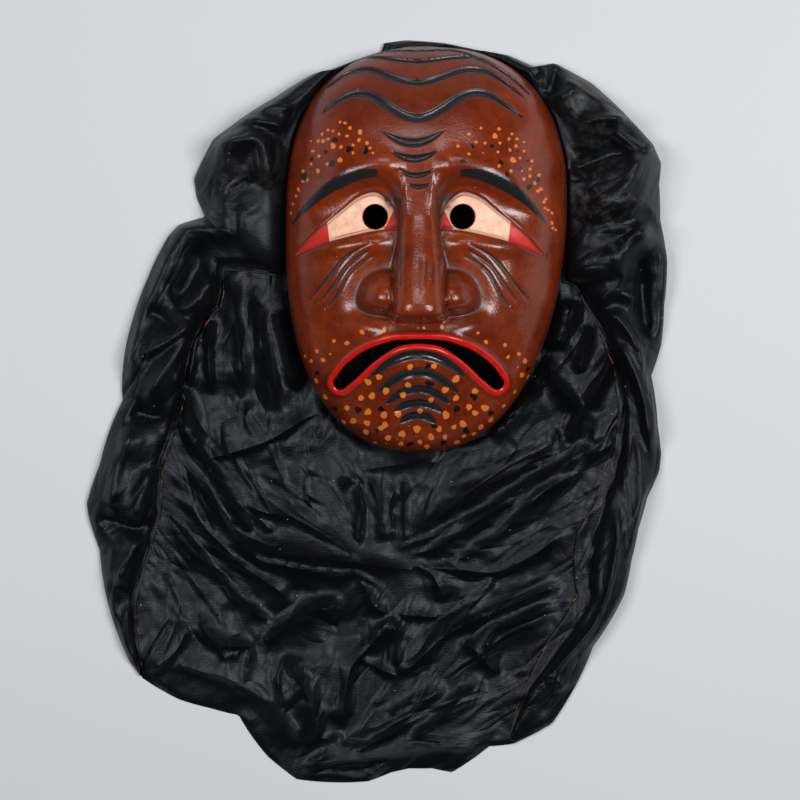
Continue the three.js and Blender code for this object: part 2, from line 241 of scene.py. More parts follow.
# forehead waves: level, swing, half wavelength, droop from, droop, left end, right end, half width
waves = [(75, 9.2, 41, 60, .004, -66, 71, 2.9), (96.5, 5.2, 38, 45, .012, -63, 72, 2.3),
         (109.3, 1.8, 34, 35, .0135, -76, 76, 1.6), (116.6, .6, 34, 16, .010, -55, 55, .8)]
# creases: middle, level, sag, half length, half width, depth
browCreases = [(-4, 57.8, 9.2, 21, 2.9, 1.8), (-3.5, 43.2, 5.4, 15.6, 2.6, 1.8),
               (-2, 31.1, 4.6, 11.8, 1.8, 1.4), (0, 21.2, 2.2, 8.2, 1.6, 1.2)]
chinArcs = [(-93.3, 32, 15), (-105.6, 27.5, 13.4), (-116.7, 22, 10), (-126.1, 17, 6), (-134.5, 12.6, 5)]
cheekLines = [[(33, -18.5), (49, -27.2), (62.5, -42), (75.6, -57.3)],
              [(32.6, -22.3), (48, -33), (58.5, -47), (68.5, -58.8)],
              [(30.3, -26.2), (46, -37.3), (56, -54), (64, -62.6)]]
noseLines = [(-15.2, -19, -52), (-12.2, -20, -50), (1.4, -26, -57), (5.2, -24, -56), (9.2, -26, -55)]

# painted dots: where each shows in the photograph, in its pixels, and its radius there
orangeDots = {
    1.1: [(524, 142), (483, 153), (522, 171), (418, 328), (330, 354), (518, 367), (386, 443), (311, 141),
          (299, 191)],
    1.6: [(340, 122), (345, 123), (328, 130), (333, 131), (322, 134), (339, 134), (347, 136), (318, 141),
          (328, 139), (359, 140), (353, 145), (370, 148), (353, 153), (373, 153), (313, 151), (319, 156),
          (327, 164), (311, 164), (303, 171), (303, 181), (307, 180), (298, 189), (296, 196), (293, 204),
          (291, 213), (481, 128), (469, 134), (499, 129), (512, 134), (509, 139), (517, 139), (476, 142),
          (485, 143), (500, 143), (516, 146), (458, 146), (510, 150), (524, 151), (469, 154), (498, 152),
          (520, 158), (499, 166), (532, 161), (530, 169), (511, 171), (524, 179), (530, 176), (539, 175),
          (535, 183), (541, 189), (538, 191), (546, 199), (544, 202), (545, 208), (548, 210), (552, 213),
          (552, 223), (553, 228), (556, 230), (424, 328), (478, 333), (305, 356)],
    2.1: [(350, 128), (323, 141), (367, 143), (341, 147), (318, 171), (362, 332), (384, 330), (442, 327),
          (486, 342), (505, 345), (508, 357), (519, 354), (334, 341), (347, 343), (317, 351), (323, 360),
          (311, 361), (537, 358), (515, 392), (504, 406), (464, 436), (474, 434), (375, 443), (407, 451),
          (444, 449)],
    2.7: [(360, 132), (333, 146), (340, 160), (495, 136), (513, 160), (325, 397), (528, 377), (316, 381),
          (525, 361), (522, 375), (361, 398), (347, 408), (344, 422), (366, 432), (381, 428), (454, 427),
          (481, 427), (491, 420), (388, 438), (420, 442), (401, 444), (457, 442), (427, 447), (445, 437),
          (431, 400), (475, 391)],
    3.3: [(410, 367), (379, 377), (368, 382), (456, 379), (408, 385), (386, 391), (445, 390), (403, 395),
          (456, 398), (368, 412), (384, 415), (469, 407), (485, 408), (398, 414), (420, 411), (367, 423),
          (385, 425), (463, 424), (417, 429), (439, 429), (402, 434), (431, 437), (434, 366), (372, 396),
          (475, 413), (446, 415), (353, 421)]}
blackDots = {
    1.3: [(518, 151), (528, 161), (521, 168), (414, 434), (312, 169)],
    2.3: [(326, 152), (312, 159), (331, 164), (473, 146), (492, 146), (463, 161), (501, 162), (507, 175),
          (538, 180), (529, 187), (377, 431), (317, 373), (528, 369), (434, 426), (335, 409)],
    3.1: [(335, 140), (349, 149), (366, 151), (304, 177), (332, 164), (428, 366), (429, 384), (474, 397),
          (358, 410), (457, 409), (381, 409), (491, 413), (466, 431), (443, 443), (410, 444)]}


def seenAt(u, v, z):  # pixel of the photograph at which a point of the mask shows
    px, py, pz = maskForm["place"]
    near = 1 / (view["height"] / mm - z - pz) / (view["sensor"] / view["lens"] / view["pixels"])
    half = view["pixels"] / 2
    return half + (u + px - view["x"] / mm) * near, half - (v + py - view["y"] / mm) * near


faceScale = .67  # mm of the face under one pixel


def dotMarks(u, v, z, dots, ragged, seed):  # mm inside the nearest dot
    rng = np.random.default_rng(seed)
    sx, sy = seenAt(u, v, z)
    best = np.full(sx.shape, -9.0)
    for radius, places in dots.items():
        for px, py in places:
            near = (np.abs(sx - px) < radius * 2 + 3) & (np.abs(sy - py) < radius * 2 + 3)
            turn = rng.uniform(0, np.pi)
            dx, dy = sx[near] - px, sy[near] - py
            a, b = dx * math.cos(turn) + dy * math.sin(turn), dy * math.cos(turn) - dx * math.sin(turn)
            long = rng.uniform(1, 1 + ragged)
            gap, way = np.hypot(a / long, b * long ** .5), np.arctan2(b, a)
            drop = np.abs(z[near] - z[near][gap.argmin()]) / faceScale
            gap = np.hypot(gap, np.maximum(drop - radius, 0))  # no streaks down a steep side
            edge = radius * rng.uniform(.85, 1.12) * (1 + ragged * .35 * np.sin(3 * way + rng.uniform(0, 6))
                                                      + ragged * .2 * np.sin(5 * way + rng.uniform(0, 6)))
            best[near] = np.maximum(best[near], (edge - gap) * faceScale)
    return best


def eggMid(v):
    return -0.3 + 6.6 * ease(-150, 40, v)


def eggReach(v):
    return np.where(v > maskForm["midHeight"], maskForm["topReach"], maskForm["chinReach"])


def eggRadius(u, v, shrink=0.0):
    n = np.where(v > maskForm["midHeight"], maskForm["topPower"], maskForm["chinPower"])
    across = np.abs((u - eggMid(v)) / (maskForm["halfWidth"] - shrink)) ** n
    along = np.abs((v - maskForm["midHeight"]) / (eggReach(v) - shrink)) ** n
    return (across + along) ** (1 / n)


def eggPoint(share, angle):
    c, s = np.cos(angle), np.sin(angle)
    n = np.where(s > 0, maskForm["topPower"], maskForm["chinPower"])
    reach = np.where(s > 0, maskForm["topReach"], maskForm["chinReach"])
    k = share / (np.abs(c / maskForm["halfWidth"]) ** n + np.abs(s / reach) ** n) ** (1 / n)
    v = maskForm["midHeight"] + s * k
    return c * k + eggMid(v), v


def eyeInside(a, v):  # mm inside the eye's outline
    lids = np.minimum(curveAt(a, eyeTop) - v, v - curveAt(a, eyeLow)) * 0.9
    return np.minimum(lids, np.minimum(eyeTop[-1][0] - a, a - 14.2))


def mouthInside(u, v):  # mm inside the mouth slot, negative outside it
    best = np.full(np.shape(u), -99.0)
    steps = np.linspace(mouthLine[0][0], mouthLine[-1][0], 49)
    level = curveAt(steps, mouthLine)
    half = curveAt(np.abs(steps), mouthHalf)
    near = (np.abs(u) < 75) & (v > -135) & (v < -70)  # only round the mouth
    pu, pv = u[near], v[near]
    found = np.full(pu.shape, -99.0)
    for i in range(len(steps) - 1):
        du, dv = steps[i + 1] - steps[i], level[i + 1] - level[i]
        t = clamp01(((pu - steps[i]) * du + (pv - level[i]) * dv) / (du * du + dv * dv))
        gap = np.hypot(pu - steps[i] - t * du, pv - level[i] - t * dv)
        found = np.maximum(found, half[i] + t * (half[i + 1] - half[i]) - gap)
    best[near] = found
    return best


def carvedLines(u, v):  # depth of every gouged line, and mm inside its black paint
    a = np.abs(u)
    cut, fine, paint = np.zeros_like(u), np.zeros_like(u), np.full_like(u, -9.0)
    depth = maskForm["grooveDepth"]

    def gouge(s, w, deep, within):
        np.minimum(cut, -deep * clamp01(1 - (s / np.maximum(w, 1e-6)) ** 2) ** 0.75, out=cut)
        np.maximum(paint, np.where(within, w - np.abs(s), -9), out=paint)

    for level, swing, half, start, droop, left, right, width in waves:
        def line(x):
            wave = level - swing * np.cos(np.pi * (x + 1) / half)
            return wave - droop * np.maximum(np.abs(x) - start, 0) ** 2
        t = (u - left) / (right - left)
        w = width * clamp01(np.minimum(t, 1 - t) * 5) ** 0.6
        gouge(offLine(line, u, v), w, depth, (t > 0) & (t < 1))
    for mid, level, sag, half, width, deep in browCreases:
        x = (u - mid) / half
        s = (v - (level - sag * (1 - x * x))) / np.sqrt(1 + (2 * sag * x / half) ** 2)
        gouge(s, width * clamp01(1 - np.abs(x) ** 2.2), deep, np.abs(x) < 1)
    for level, half, sag in chinArcs:
        x = (u + .5) / half
        s = (v - (level - sag * x * x)) / np.sqrt(1 + (2 * sag * x / half) ** 2)
        gouge(s, 3.0 * clamp01(1 - np.abs(x) ** 4) ** .7, depth, np.abs(x) < 1)
    for points in cheekLines:
        s = offLine(lambda x: curveAt(x, points), a, v)
        t = (a - points[0][0]) / (points[-1][0] - points[0][0])
        w = np.where((t > 0) & (t < 1), 1.25 * clamp01(np.minimum(t, 1 - t) * 4) ** .6, 1e-6)
        fine = np.minimum(fine, -1.3 * clamp01(1 - np.abs(s) / np.maximum(w, 1e-6)))
    for mid, top, low in noseLines:
        t = (v - low) / (top - low)
        w = 0.9 * clamp01(np.minimum(t, 1 - t) * 4)
        within = (t > 0) & (t < 1)
        fine = np.minimum(fine, -0.7 * clamp01(1 - np.abs(u - mid) / np.maximum(w, 1e-6)) * within)
    return cut, paint, fine


def faceForm(u, v):  # height above the rim without the nose; each swell is a rise in mm times where it lies
    a = np.abs(u)
    r = np.minimum(eggRadius(u, v), 1)
    inner = ease(1, .62, r)
    mid = ease(1, .55, r)
    z = maskForm["dome"] * (1 - r ** 2.6) ** (1 / 2.6)
    steep = curveAt(a + .5, browCrease) - curveAt(a - .5, browCrease)
    over = v - curveAt(a, browCrease)
    over = np.maximum(over / np.sqrt(1 + steep ** 2), np.minimum(over, v - 24.6))
    shelf = ease(-6, 8, over) * ease(88, 45, a)
    z = z + inner * (3 + 6.5 * shelf) * ease(114, 38, v) * ease(-40, 10, v)  # forehead
    z = z + 4 * inner * hill(over - 10, 9) * ease(86, 60, a) * ease(6, 22, a)  # ridge of the brow
    z = z - 6.5 * inner * hill(a - 22, 13) * hill(v - 9, 14) * ease(5, -5, over)  # inner socket
    z = z - 3 * inner * hill(a - 55, 26) * hill(v - 3, 11) * ease(4, -4, over)  # outer socket
    pouch = hill(v + 18.6 + .12 * np.maximum(a - 38, 0), 6)  # under the eye
    z = z + 3.6 * inner * pouch * ease(12, 30, a) * ease(88, 50, a)
    z = z + 4 * inner * hill(a - 52, 24) * hill(v + 42, 24)  # cheek
    z = z + 11 * mid * hill(u, 62) * hill(v + 90, 26)  # muzzle
    z = z + 4.5 * hill(a - 30, 20) * hill(v + 75, 9)
    return z + 13 * mid * hill(u, 40) * hill(v + 116, 30)  # chin


def wingShare(a, v):  # 0 at the top of a nostril's wing, 1 at its foot
    return (np.abs(a - 20) / 20.5) ** 2.2 + (np.abs(v + 56) / np.where(v > -56, 19.5, 12.2)) ** 2.2


def withNose(z, u, v):
    a = np.abs(u)
    foot = curveAt(v, bridgeFoot)
    share = a / foot
    section = np.where(share < 1, 1 - clamp01(1 - share ** 3) ** (1 / 2.2), share)
    ridge = curveAt(v, bridgeTop) - (16 + 8 * ease(0, -50, v)) * section - 24 * (share - 1) * (share > 1)
    ridge = ridge - 26 * ease(-66, -74, v) - 1.5 * ease(-60, -68, v) - 70 * ease(-70, -86, v)  # tip
    ridge = ridge - 45 * ease(16, 40, v)  # root
    z = softMax(z, ridge, 5)
    q = wingShare(a, v)
    z = z - .7 * hill(np.sqrt(q) - 1.15, .3) * ease(-72, -64, v) * ease(18, 28, a)
    z = softMax(z, 79 - 20 * np.minimum(q, 5) ** 1.1, 4)  # wings
    return z - 1.8 * hill(a - 17.6, 1.4) * ease(-38, -46, v) * ease(-69, -62, v)


def carvedFace(u, v):  # height above the rim, and the paint marks in mm inside their edges
    a = np.abs(u)
    z = withNose(faceForm(u, v), u, v)
    eye = eyeInside(a, v)
    z = z - maskForm["eyeDepth"] * ease(-.6, 1.0, eye) + .25 * hill(eye + 1.6, 1.4) * (a > 15)
    mouth = mouthInside(u, v)
    z = z + maskForm["lipRise"] * hill(mouth + 2.4, 2.3) * (mouth > -20)
    cut, black, fine = carvedLines(u, v)
    r = eggRadius(u, v)
    tooled = .25 * np.sin(u / 9 + v / 13) * np.sin(v / 11 - u / 17)  # faint unevenness left by the knife
    tooled = tooled + .15 * np.sin(u / 4.3 + 2) * np.sin(v / 5.1)
    z = z + tooled * ease(1, .8, r)
    return z + cut + fine, {"eye": eye, "mouth": mouth, "black": black, "fine": fine}


def netOnEgg(across, along, shrink=0.0):
    s, t = np.meshgrid(np.linspace(-1, 1, across + 1), np.linspace(-1, 1, along + 1))
    s = .9 * s + .1 * s ** 3
    t = .92 * t + .08 * t ** 3
    x = s * np.sqrt(1 - t * t / 2)
    y = t * np.sqrt(1 - s * s / 2)
    far = np.minimum(1, np.hypot(x, y))
    u, v = eggPoint(far * (1.12 - .12 * far * far), np.arctan2(y, x))
    if shrink:
        u = eggMid(v) + (u - eggMid(v)) * (1 - shrink / maskForm["halfWidth"])
        v = maskForm["midHeight"] + (v - maskForm["midHeight"]) * (1 - shrink / eggReach(v))
    return u, v, far


def closedNet(name, u, v, z, base):  # a net of cells with a wall and a floor below, one closed mesh
    rows, cols = u.shape
    top = np.stack([u, v, z], -1).reshape(-1, 3)
    grid = np.arange(rows * cols).reshape(rows, cols)
    cells = np.stack([grid[:-1, :-1], grid[:-1, 1:], grid[1:, 1:], grid[1:, :-1]], -1).reshape(-1, 4)
    faces = [tuple(cell) for cell in cells]
    ring = list(grid[0, :-1]) + list(grid[:-1, -1]) + list(grid[-1, :0:-1]) + list(grid[:0:-1, 0])
    low = top[ring].copy()
    low[:, 2] = base
    first, n = len(top), len(ring)
    faces += [(ring[i], first + i, first + (i + 1) % n, ring[(i + 1) % n]) for i in range(n)]
    faces.append(tuple(first + i for i in reversed(range(n))))
    return newPiece(name, np.vstack([top, low]), faces)


def prismObject(name, outline, low, high):
    n = len(outline)
    points = [(p[0], p[1], low) for p in outline] + [(p[0], p[1], high) for p in outline]
    faces = [tuple(reversed(range(n))), tuple(range(n, 2 * n))]
    faces += [(i, (i + 1) % n, n + (i + 1) % n, n + i) for i in range(n)]
    return newPiece(name, points, faces)


def mouthOutline(steps=60):
    us = np.linspace(mouthLine[0][0], mouthLine[-1][0], steps)
    level = curveAt(us, mouthLine)
    slope = curveAt(us + .5, mouthLine) - curveAt(us - .5, mouthLine)
    nu, nv = -slope / np.hypot(1, slope), 1 / np.hypot(1, slope)
    half = curveAt(np.abs(us), mouthHalf)

    def corner(k, side):  # half a circle round one end of the slot
        turn = np.linspace(0, math.pi, 12)[1:-1]
        c, s = side * half[k] * np.cos(turn), side * half[k] * np.sin(turn)
        return list(zip(us[k] + c * nu[k] + s * nv[k], level[k] + c * nv[k] - s * nu[k]))

    upper = list(zip(us + half * nu, level + half * nv))
    lower = list(zip(us - half * nu, level - half * nv))
    return (upper + corner(-1, 1) + lower[::-1] + corner(0, -1))[::-1]


def cutAway(body, tool):
    bakeStep(body, "BOOLEAN", {"operation": "DIFFERENCE", "solver": "MANIFOLD", "object": tool})
    bpy.data.objects.remove(tool)


def hollowForm(u, v):
    r = np.minimum(1, eggRadius(u, v, maskForm["wall"]))
    z = (maskForm["dome"] - maskForm["wall"] - 3) * (1 - r ** 2.6) ** (1 / 2.6)
    z = z + 14 * hill(u, 15) * hill(v + 42, 26)  # deeper behind the nose and the mouth
    return z + 9 * hill(u, 34) * hill(v + 100, 34) * ease(1, .5, r)


def makeMask():
    u, v, far = netOnEgg(maskForm["across"], maskForm["along"])
    z = np.where(far > .9999, maskForm["rim"], np.maximum(carvedFace(u, v)[0], maskForm["rim"]))
    body = closedNet("carvedMask", u, v, z, 0)
    u, v, far = netOnEgg(*maskForm["hollowCells"], maskForm["wall"])
    z = np.where(far > .9999, 1, np.maximum(hollowForm(u, v), 1))
    cutAway(body, closedNet("hollow", u, v, z, -6))
    through = (-8, 140)  # from below the rim to above the nose
    cutAway(body, prismObject("slot", mouthOutline(), *through))
    turn = np.linspace(0, 2 * np.pi, 57)[:-1]
    for side in (-1, 1):
        across = side * maskForm["pupilGap"] + maskForm["pupilRadius"] * np.cos(turn)
        rim = list(zip(across, maskForm["pupilRadius"] * 1.04 * np.sin(turn)))
        cutAway(body, prismObject("pupil", rim, *through))
    return body


def grimeAndShadeDepth(u, v, marks):  # grime round the eyes, the mouth and the black lines, and painted shade in the recesses and creases, under the nose and towards the rim
    a = np.abs(u)
    q = wingShare(a, v)
    g = .8 * hill(a - curveAt(v, bridgeFoot) - 1, 2.6) * ease(24, 8, v) * ease(-48, -34, v)  # painted shade along the foot of the bridge
    g = g + .8 * hill(np.sqrt(q) - 1.08, .15) * ease(16, 24, a)  # painted shade in the valley round the wings
    g = g + .7 * hill(a - 17.6, 1) * ease(-38, -46, v) * ease(-69, -62, v)  # painted shade in the crease between wing and bridge
    g = g + .6 * hill(a - 19, 5) * hill(v - 9, 13)  # painted shade in the inner sockets
    g = g + .5 * hill(v + 77, 3.5) * ease(24, 12, a)  # painted shade under the nose
    g = g + .6 * hill(marks["black"] + .5, .7) + .85 * hill(marks["eye"] + .3, .45) * (a > 14)
    g = g + .5 * hill(marks["eye"] - 1.9, .4) * (v > -8) + .3 * hill(marks["eye"] - 1, 1.6)
    # more painted shade in the inner corners of the sockets
    g = g + .5 * hill(a - 19, 5) * hill(v - 11, 5)
    # a dark line round the mouth, and darker over the left of the forehead
    g = g + .45 * hill(marks["mouth"] + 5.4, 1.0) + .32 * hill(u + 18, 50) * hill(v - 78, 34)
    # painted shade inside the fine cut lines, and towards the rim where the sides turn away
    return g + .7 * clamp01(marks["fine"] * -1.6) + .5 * ease(.955, .995, eggRadius(u, v))


def paintMask(body):
    mesh = body.data
    co = pointsOf(mesh)
    u, v, z = co.T
    a = np.abs(u)
    height, marks = carvedFace(u, v)
    inside = (z < height - 3) & (eggRadius(u, v) < .97)
    brow = np.minimum(curveAt(a, browHalf) - np.abs(v - curveAt(a, browLine)), a - browLine[0][0])
    eye = marks["eye"]
    tearCorner = -((a - 18.2) * 11.2 + (v - 2) * 5.5) / 12.5
    red = np.minimum(np.where(a > 50, a - 61.5 - (v + 8) * .12, tearCorner), eye)
    lip = np.minimum(marks["mouth"] + 4.2, 4)
    pupil = np.hypot(a - maskForm["pupilGap"], v) - maskForm["pupilRadius"]
    lid = np.where(v > -20 + .1 * a, .28 - np.abs(eye - 1.7), -9)
    layers = {
        "blackPaint": np.maximum(np.maximum(marks["black"], brow), -marks["fine"] * .9 - .35),
        "creamPaint": eye,
        "lidLine": np.where(a > 14, np.clip(np.maximum(lid, .55 - np.abs(pupil)), -1, 1), -1),
        "redPaint": np.maximum(red, lip),
        "bareWood": np.where(inside, 1.0, -1.0),
        # grime, with painted shade in the recesses, under the nose and at the rim
        "grimeAndShade": clamp01(grimeAndShadeDepth(u, v, marks)),
    }
    for name, depth in layers.items():
        setFloat(mesh, name, np.clip(depth, -5, 5))
    for name, dots, ragged, seed in (("orangeDots", orangeDots, .25, 5), ("blackDots", blackDots, .5, 6)):
        depth = np.full(len(u), -9.0)
        depth[~inside] = dotMarks(u[~inside], v[~inside], z[~inside], dots, ragged, seed)
        setFloat(mesh, name, depth)
    moved = (co + np.array(maskForm["place"])) * mm
    mesh.vertices.foreach_set("co", moved.astype(np.float32).ravel())
    finishShape(body, maskForm["crease"])
    mesh.update()


def lacquerMaterial():  # oil lacquer brushed over carved wood: deep gloss, a little uneven
    made, tree = newMaterial("lacquered carved wood")
    where = addNode(tree, "TexCoord").outputs["Object"]
    brushed = addNode(tree, "TexNoise", links={"Vector": where},
                      inputs={"Scale": perMetre(maskForm["patch"]), "Detail": 7, "Roughness": .62})
    wood = addNode(tree, "ValToRGB", links={"Fac": brushed})
    for stop, place, text in zip(wood.color_ramp.elements, (.3, .75), maskForm["wood"]):
        stop.position = place
        stop.color = hexColour(text)
    dirt = addNode(tree, "TexNoise", links={"Vector": where},
                   inputs={"Scale": perMetre(maskForm["dirt"]), "Detail": 4, "Roughness": .7})
    grimeAndShade = addNode(tree, "Attribute", {"attribute_name": "grimeAndShade"}).outputs["Fac"]
    patchy = addNode(tree, "MapRange", inputs={1: .25, 2: .62}, links={0: dirt})
    dark = addNode(tree, "Math", {"operation": "MULTIPLY"}, links={0: grimeAndShade, 1: patchy})
    uneven = addNode(tree, "MapRange", inputs={1: .36, 2: .62, 3: .76, 4: 1.04}, links={0: dirt})

    def painted(attribute, edge):  # 1 inside this paint, with an edge this soft in mm
        read = addNode(tree, "Attribute", {"attribute_name": attribute}).outputs["Fac"]
        smooth = {"interpolation_type": "SMOOTHSTEP"}
        return addNode(tree, "MapRange", smooth, {1: -edge, 2: edge}, {0: read})

    cream = painted("creamPaint", .3)
    red = painted("redPaint", .3)
    colour = layered(tree, wood, [(cream, maskForm["eyeWhite"]), (red, maskForm["redPaint"])])
    colour = addNode(tree, "Mix", {"data_type": "RGBA", "blend_type": "MULTIPLY"}, {0: 1},
                     {6: colour, 7: uneven}).outputs[2]
    lid = painted("lidLine", .2)
    # the grime layer also paints shade into the recesses, under the nose and towards the rim
    colour = layered(tree, colour, [(lid, maskForm["lidLine"]), (dark, maskForm["grimeAndShade"])])
    for name, edge in (("blackPaint", .3), ("orangeDots", .25), ("blackDots", .25), ("bareWood", .5)):
        colour = layered(tree, colour, [(painted(name, edge), maskForm[name])])
    specks = dustSpecks(tree, where, maskForm["specks"], .035, .62)
    colour = layered(tree, colour, [(specks, maskForm["speckTint"])])
    gloss = addNode(tree, "MapRange", inputs={3: .24, 4: .42}, links={0: cream})
    matt = addNode(tree, "Math", {"operation": "MULTIPLY_ADD"}, {1: .4}, {0: dark, 2: gloss})
    skin = addNode(tree, "TexNoise", links={"Vector": where},
                   inputs={"Scale": perMetre(maskForm["skin"]), "Detail": 2})
    bump = addNode(tree, "Bump", inputs={"Strength": .25, "Distance": .0006}, links={"Height": skin})
    shader = addNode(tree, "BsdfPrincipled", inputs={"IOR": 1.5},
                     links={"Base Color": colour, "Roughness": matt, "Normal": bump})
    addNode(tree, "OutputMaterial", links={0: shader})
    return made


carvedMask = makeMask()
paintMask(carvedMask)
carvedMask.data.materials.clear()
carvedMask.data.materials.append(lacquerMaterial())
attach(carvedMask, "root")
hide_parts("mask")
print("mask carved and painted")

# the hood: one sheet of thin black cloth, gathered round the mask's rim and folded over at its sides
# routes are pixels of the photograph, heights and widths are mm

floorScale = view["height"] * view["sensor"] / view["lens"] / view["pixels"] / mm  # of floor under a pixel


def spot(px, py):  # the place on the floor under a pixel, in mm
    half = view["pixels"] / 2
    return view["x"] / mm + (px - half) * floorScale, view["y"] / mm - (py - half) * floorScale


hoodForm = {
    "centre": (-5, -38),
    "pitch": 2.25,  # of the net where the cloth shows, and where it is hidden
    "hiddenPitch": 6.0,
    "spokes": 660,
    "rings": 36,
    "edgeRings": 4,
    "flank": 1.6,  # folds are this much wider, and this much higher, than their rows say
    "foldRise": 1.4,
    # creases from coarse to fine: gap, height and length in mm, seed
    "panelCreases": [(34, 5.0, 150, 11), (18, 3.4, 90, 12), (8, 1.0, 40, 13)],
    "overCreases": [(28, 4.2, 120, 29), (13, 2.2, 80, 30), (6.5, .7, 30, 31)],
    "sharp": 38,  # degrees
    "thick": 0.3,
    "flat": (0.52, 0.60),  # metres, the cut before it is gathered and folded
    "black": "#040508",
    "dust": "#48443e",
    "thread": "#9c5226",
    "speckTint": "#a39377",
    "streaks": 16.13,  # sizes of the patterns; the threads are drawn coarser than real ones, to show
    "creaseDepth": 5.4,
    "threads": 1.111,
    "patch": 11.11,
    "specks": 6.667,
}

hoodOutline = [
    (384, 44), (406, 41), (444, 44), (477, 51), (508, 56), (535, 68), (555, 64), (592, 84), (633, 123),
    (653, 146), (661, 163), (659, 185), (660, 220), (667, 261), (664, 306), (661, 345), (651, 376),
    (657, 425), (661, 453), (659, 471), (647, 497), (638, 528), (631, 560), (624, 594), (593, 646),
    (567, 700), (552, 723), (511, 744), (489, 746), (452, 772), (432, 768), (409, 768), (391, 772),
    (368, 781), (297, 779), (268, 756), (250, 733), (239, 715), (211, 708), (179, 699), (143, 678),
    (130, 661), (119, 636), (105, 589), (100, 550), (88, 513), (87, 503), (100, 464), (109, 432),
    (123, 400), (122, 390), (125, 351), (133, 319), (147, 280), (168, 237), (179, 225), (205, 217),
    (197, 198), (194, 179), (205, 155), (213, 140), (232, 126), (277, 97), (311, 76), (321, 76), (358, 60),
    (381, 53)]

# the layer that is folded over: outline, fold and free edge, and how high it stands
overLeft = [
    ((143, 678), (141, 671), (143, 668), 3), ((119, 636), (133, 632), (137, 632), 7),
    ((105, 589), (133, 600), (138, 601), 9), ((100, 550), (146, 548), (151, 549), 11),
    ((87, 503), (156, 513), (161, 515), 12), ((100, 464), (158, 466), (163, 468), 12),
    ((109, 432), (172, 428), (176, 431), 13), ((122, 390), (183, 392), (188, 395), 14),
    ((125, 351), (192, 350), (197, 352), 15), ((133, 319), (203, 321), (207, 324), 15),
    ((147, 280), (219, 306), (222, 309), 15), ((168, 237), (222, 292), (225, 293), 16),
    ((179, 225), (221, 266), (224, 270), 16), ((205, 217), (258, 270), (260, 274), 17),
    ((201, 208), (284, 276), (287, 279), 18)]
overRight = [
    ((666, 273), (566, 279), (562, 283), 19), ((665, 285), (577, 284), (574, 286), 15),
    ((664, 306), (588, 304), (585, 306), 14), ((661, 345), (604, 334), (600, 337), 13),
    ((651, 376), (617, 366), (613, 369), 11),
    ((657, 425), (624, 412), (618, 413), 10), ((661, 453), (622, 452), (614, 452), 10),
    ((659, 471), (617, 476), (603, 476), 10), ((647, 497), (606, 497), (592, 505), 9),
    ((638, 528), (598, 528), (576, 534), 9), ((631, 560), (591, 566), (572, 562), 8),
    ((624, 594), (590, 600), (576, 596), 8), ((593, 646), (562, 647), (548, 640), 7),
    ((567, 700), (530, 690), (524, 684), 6), ((552, 723), (515, 724), (512, 722), 4),
    ((511, 744), (508, 741), (508, 740), 1)]
puffRise = [((198, 200), 20), ((194, 179), 25), ((213, 140), 26), ((250, 114), 24), ((311, 76), 18),
            ((384, 44), 9), ((444, 44), 8), ((508, 56), 10), ((555, 64), 18), ((612, 101), 27),
            ((659, 161), 30), ((660, 220), 29), ((667, 261), 22)]

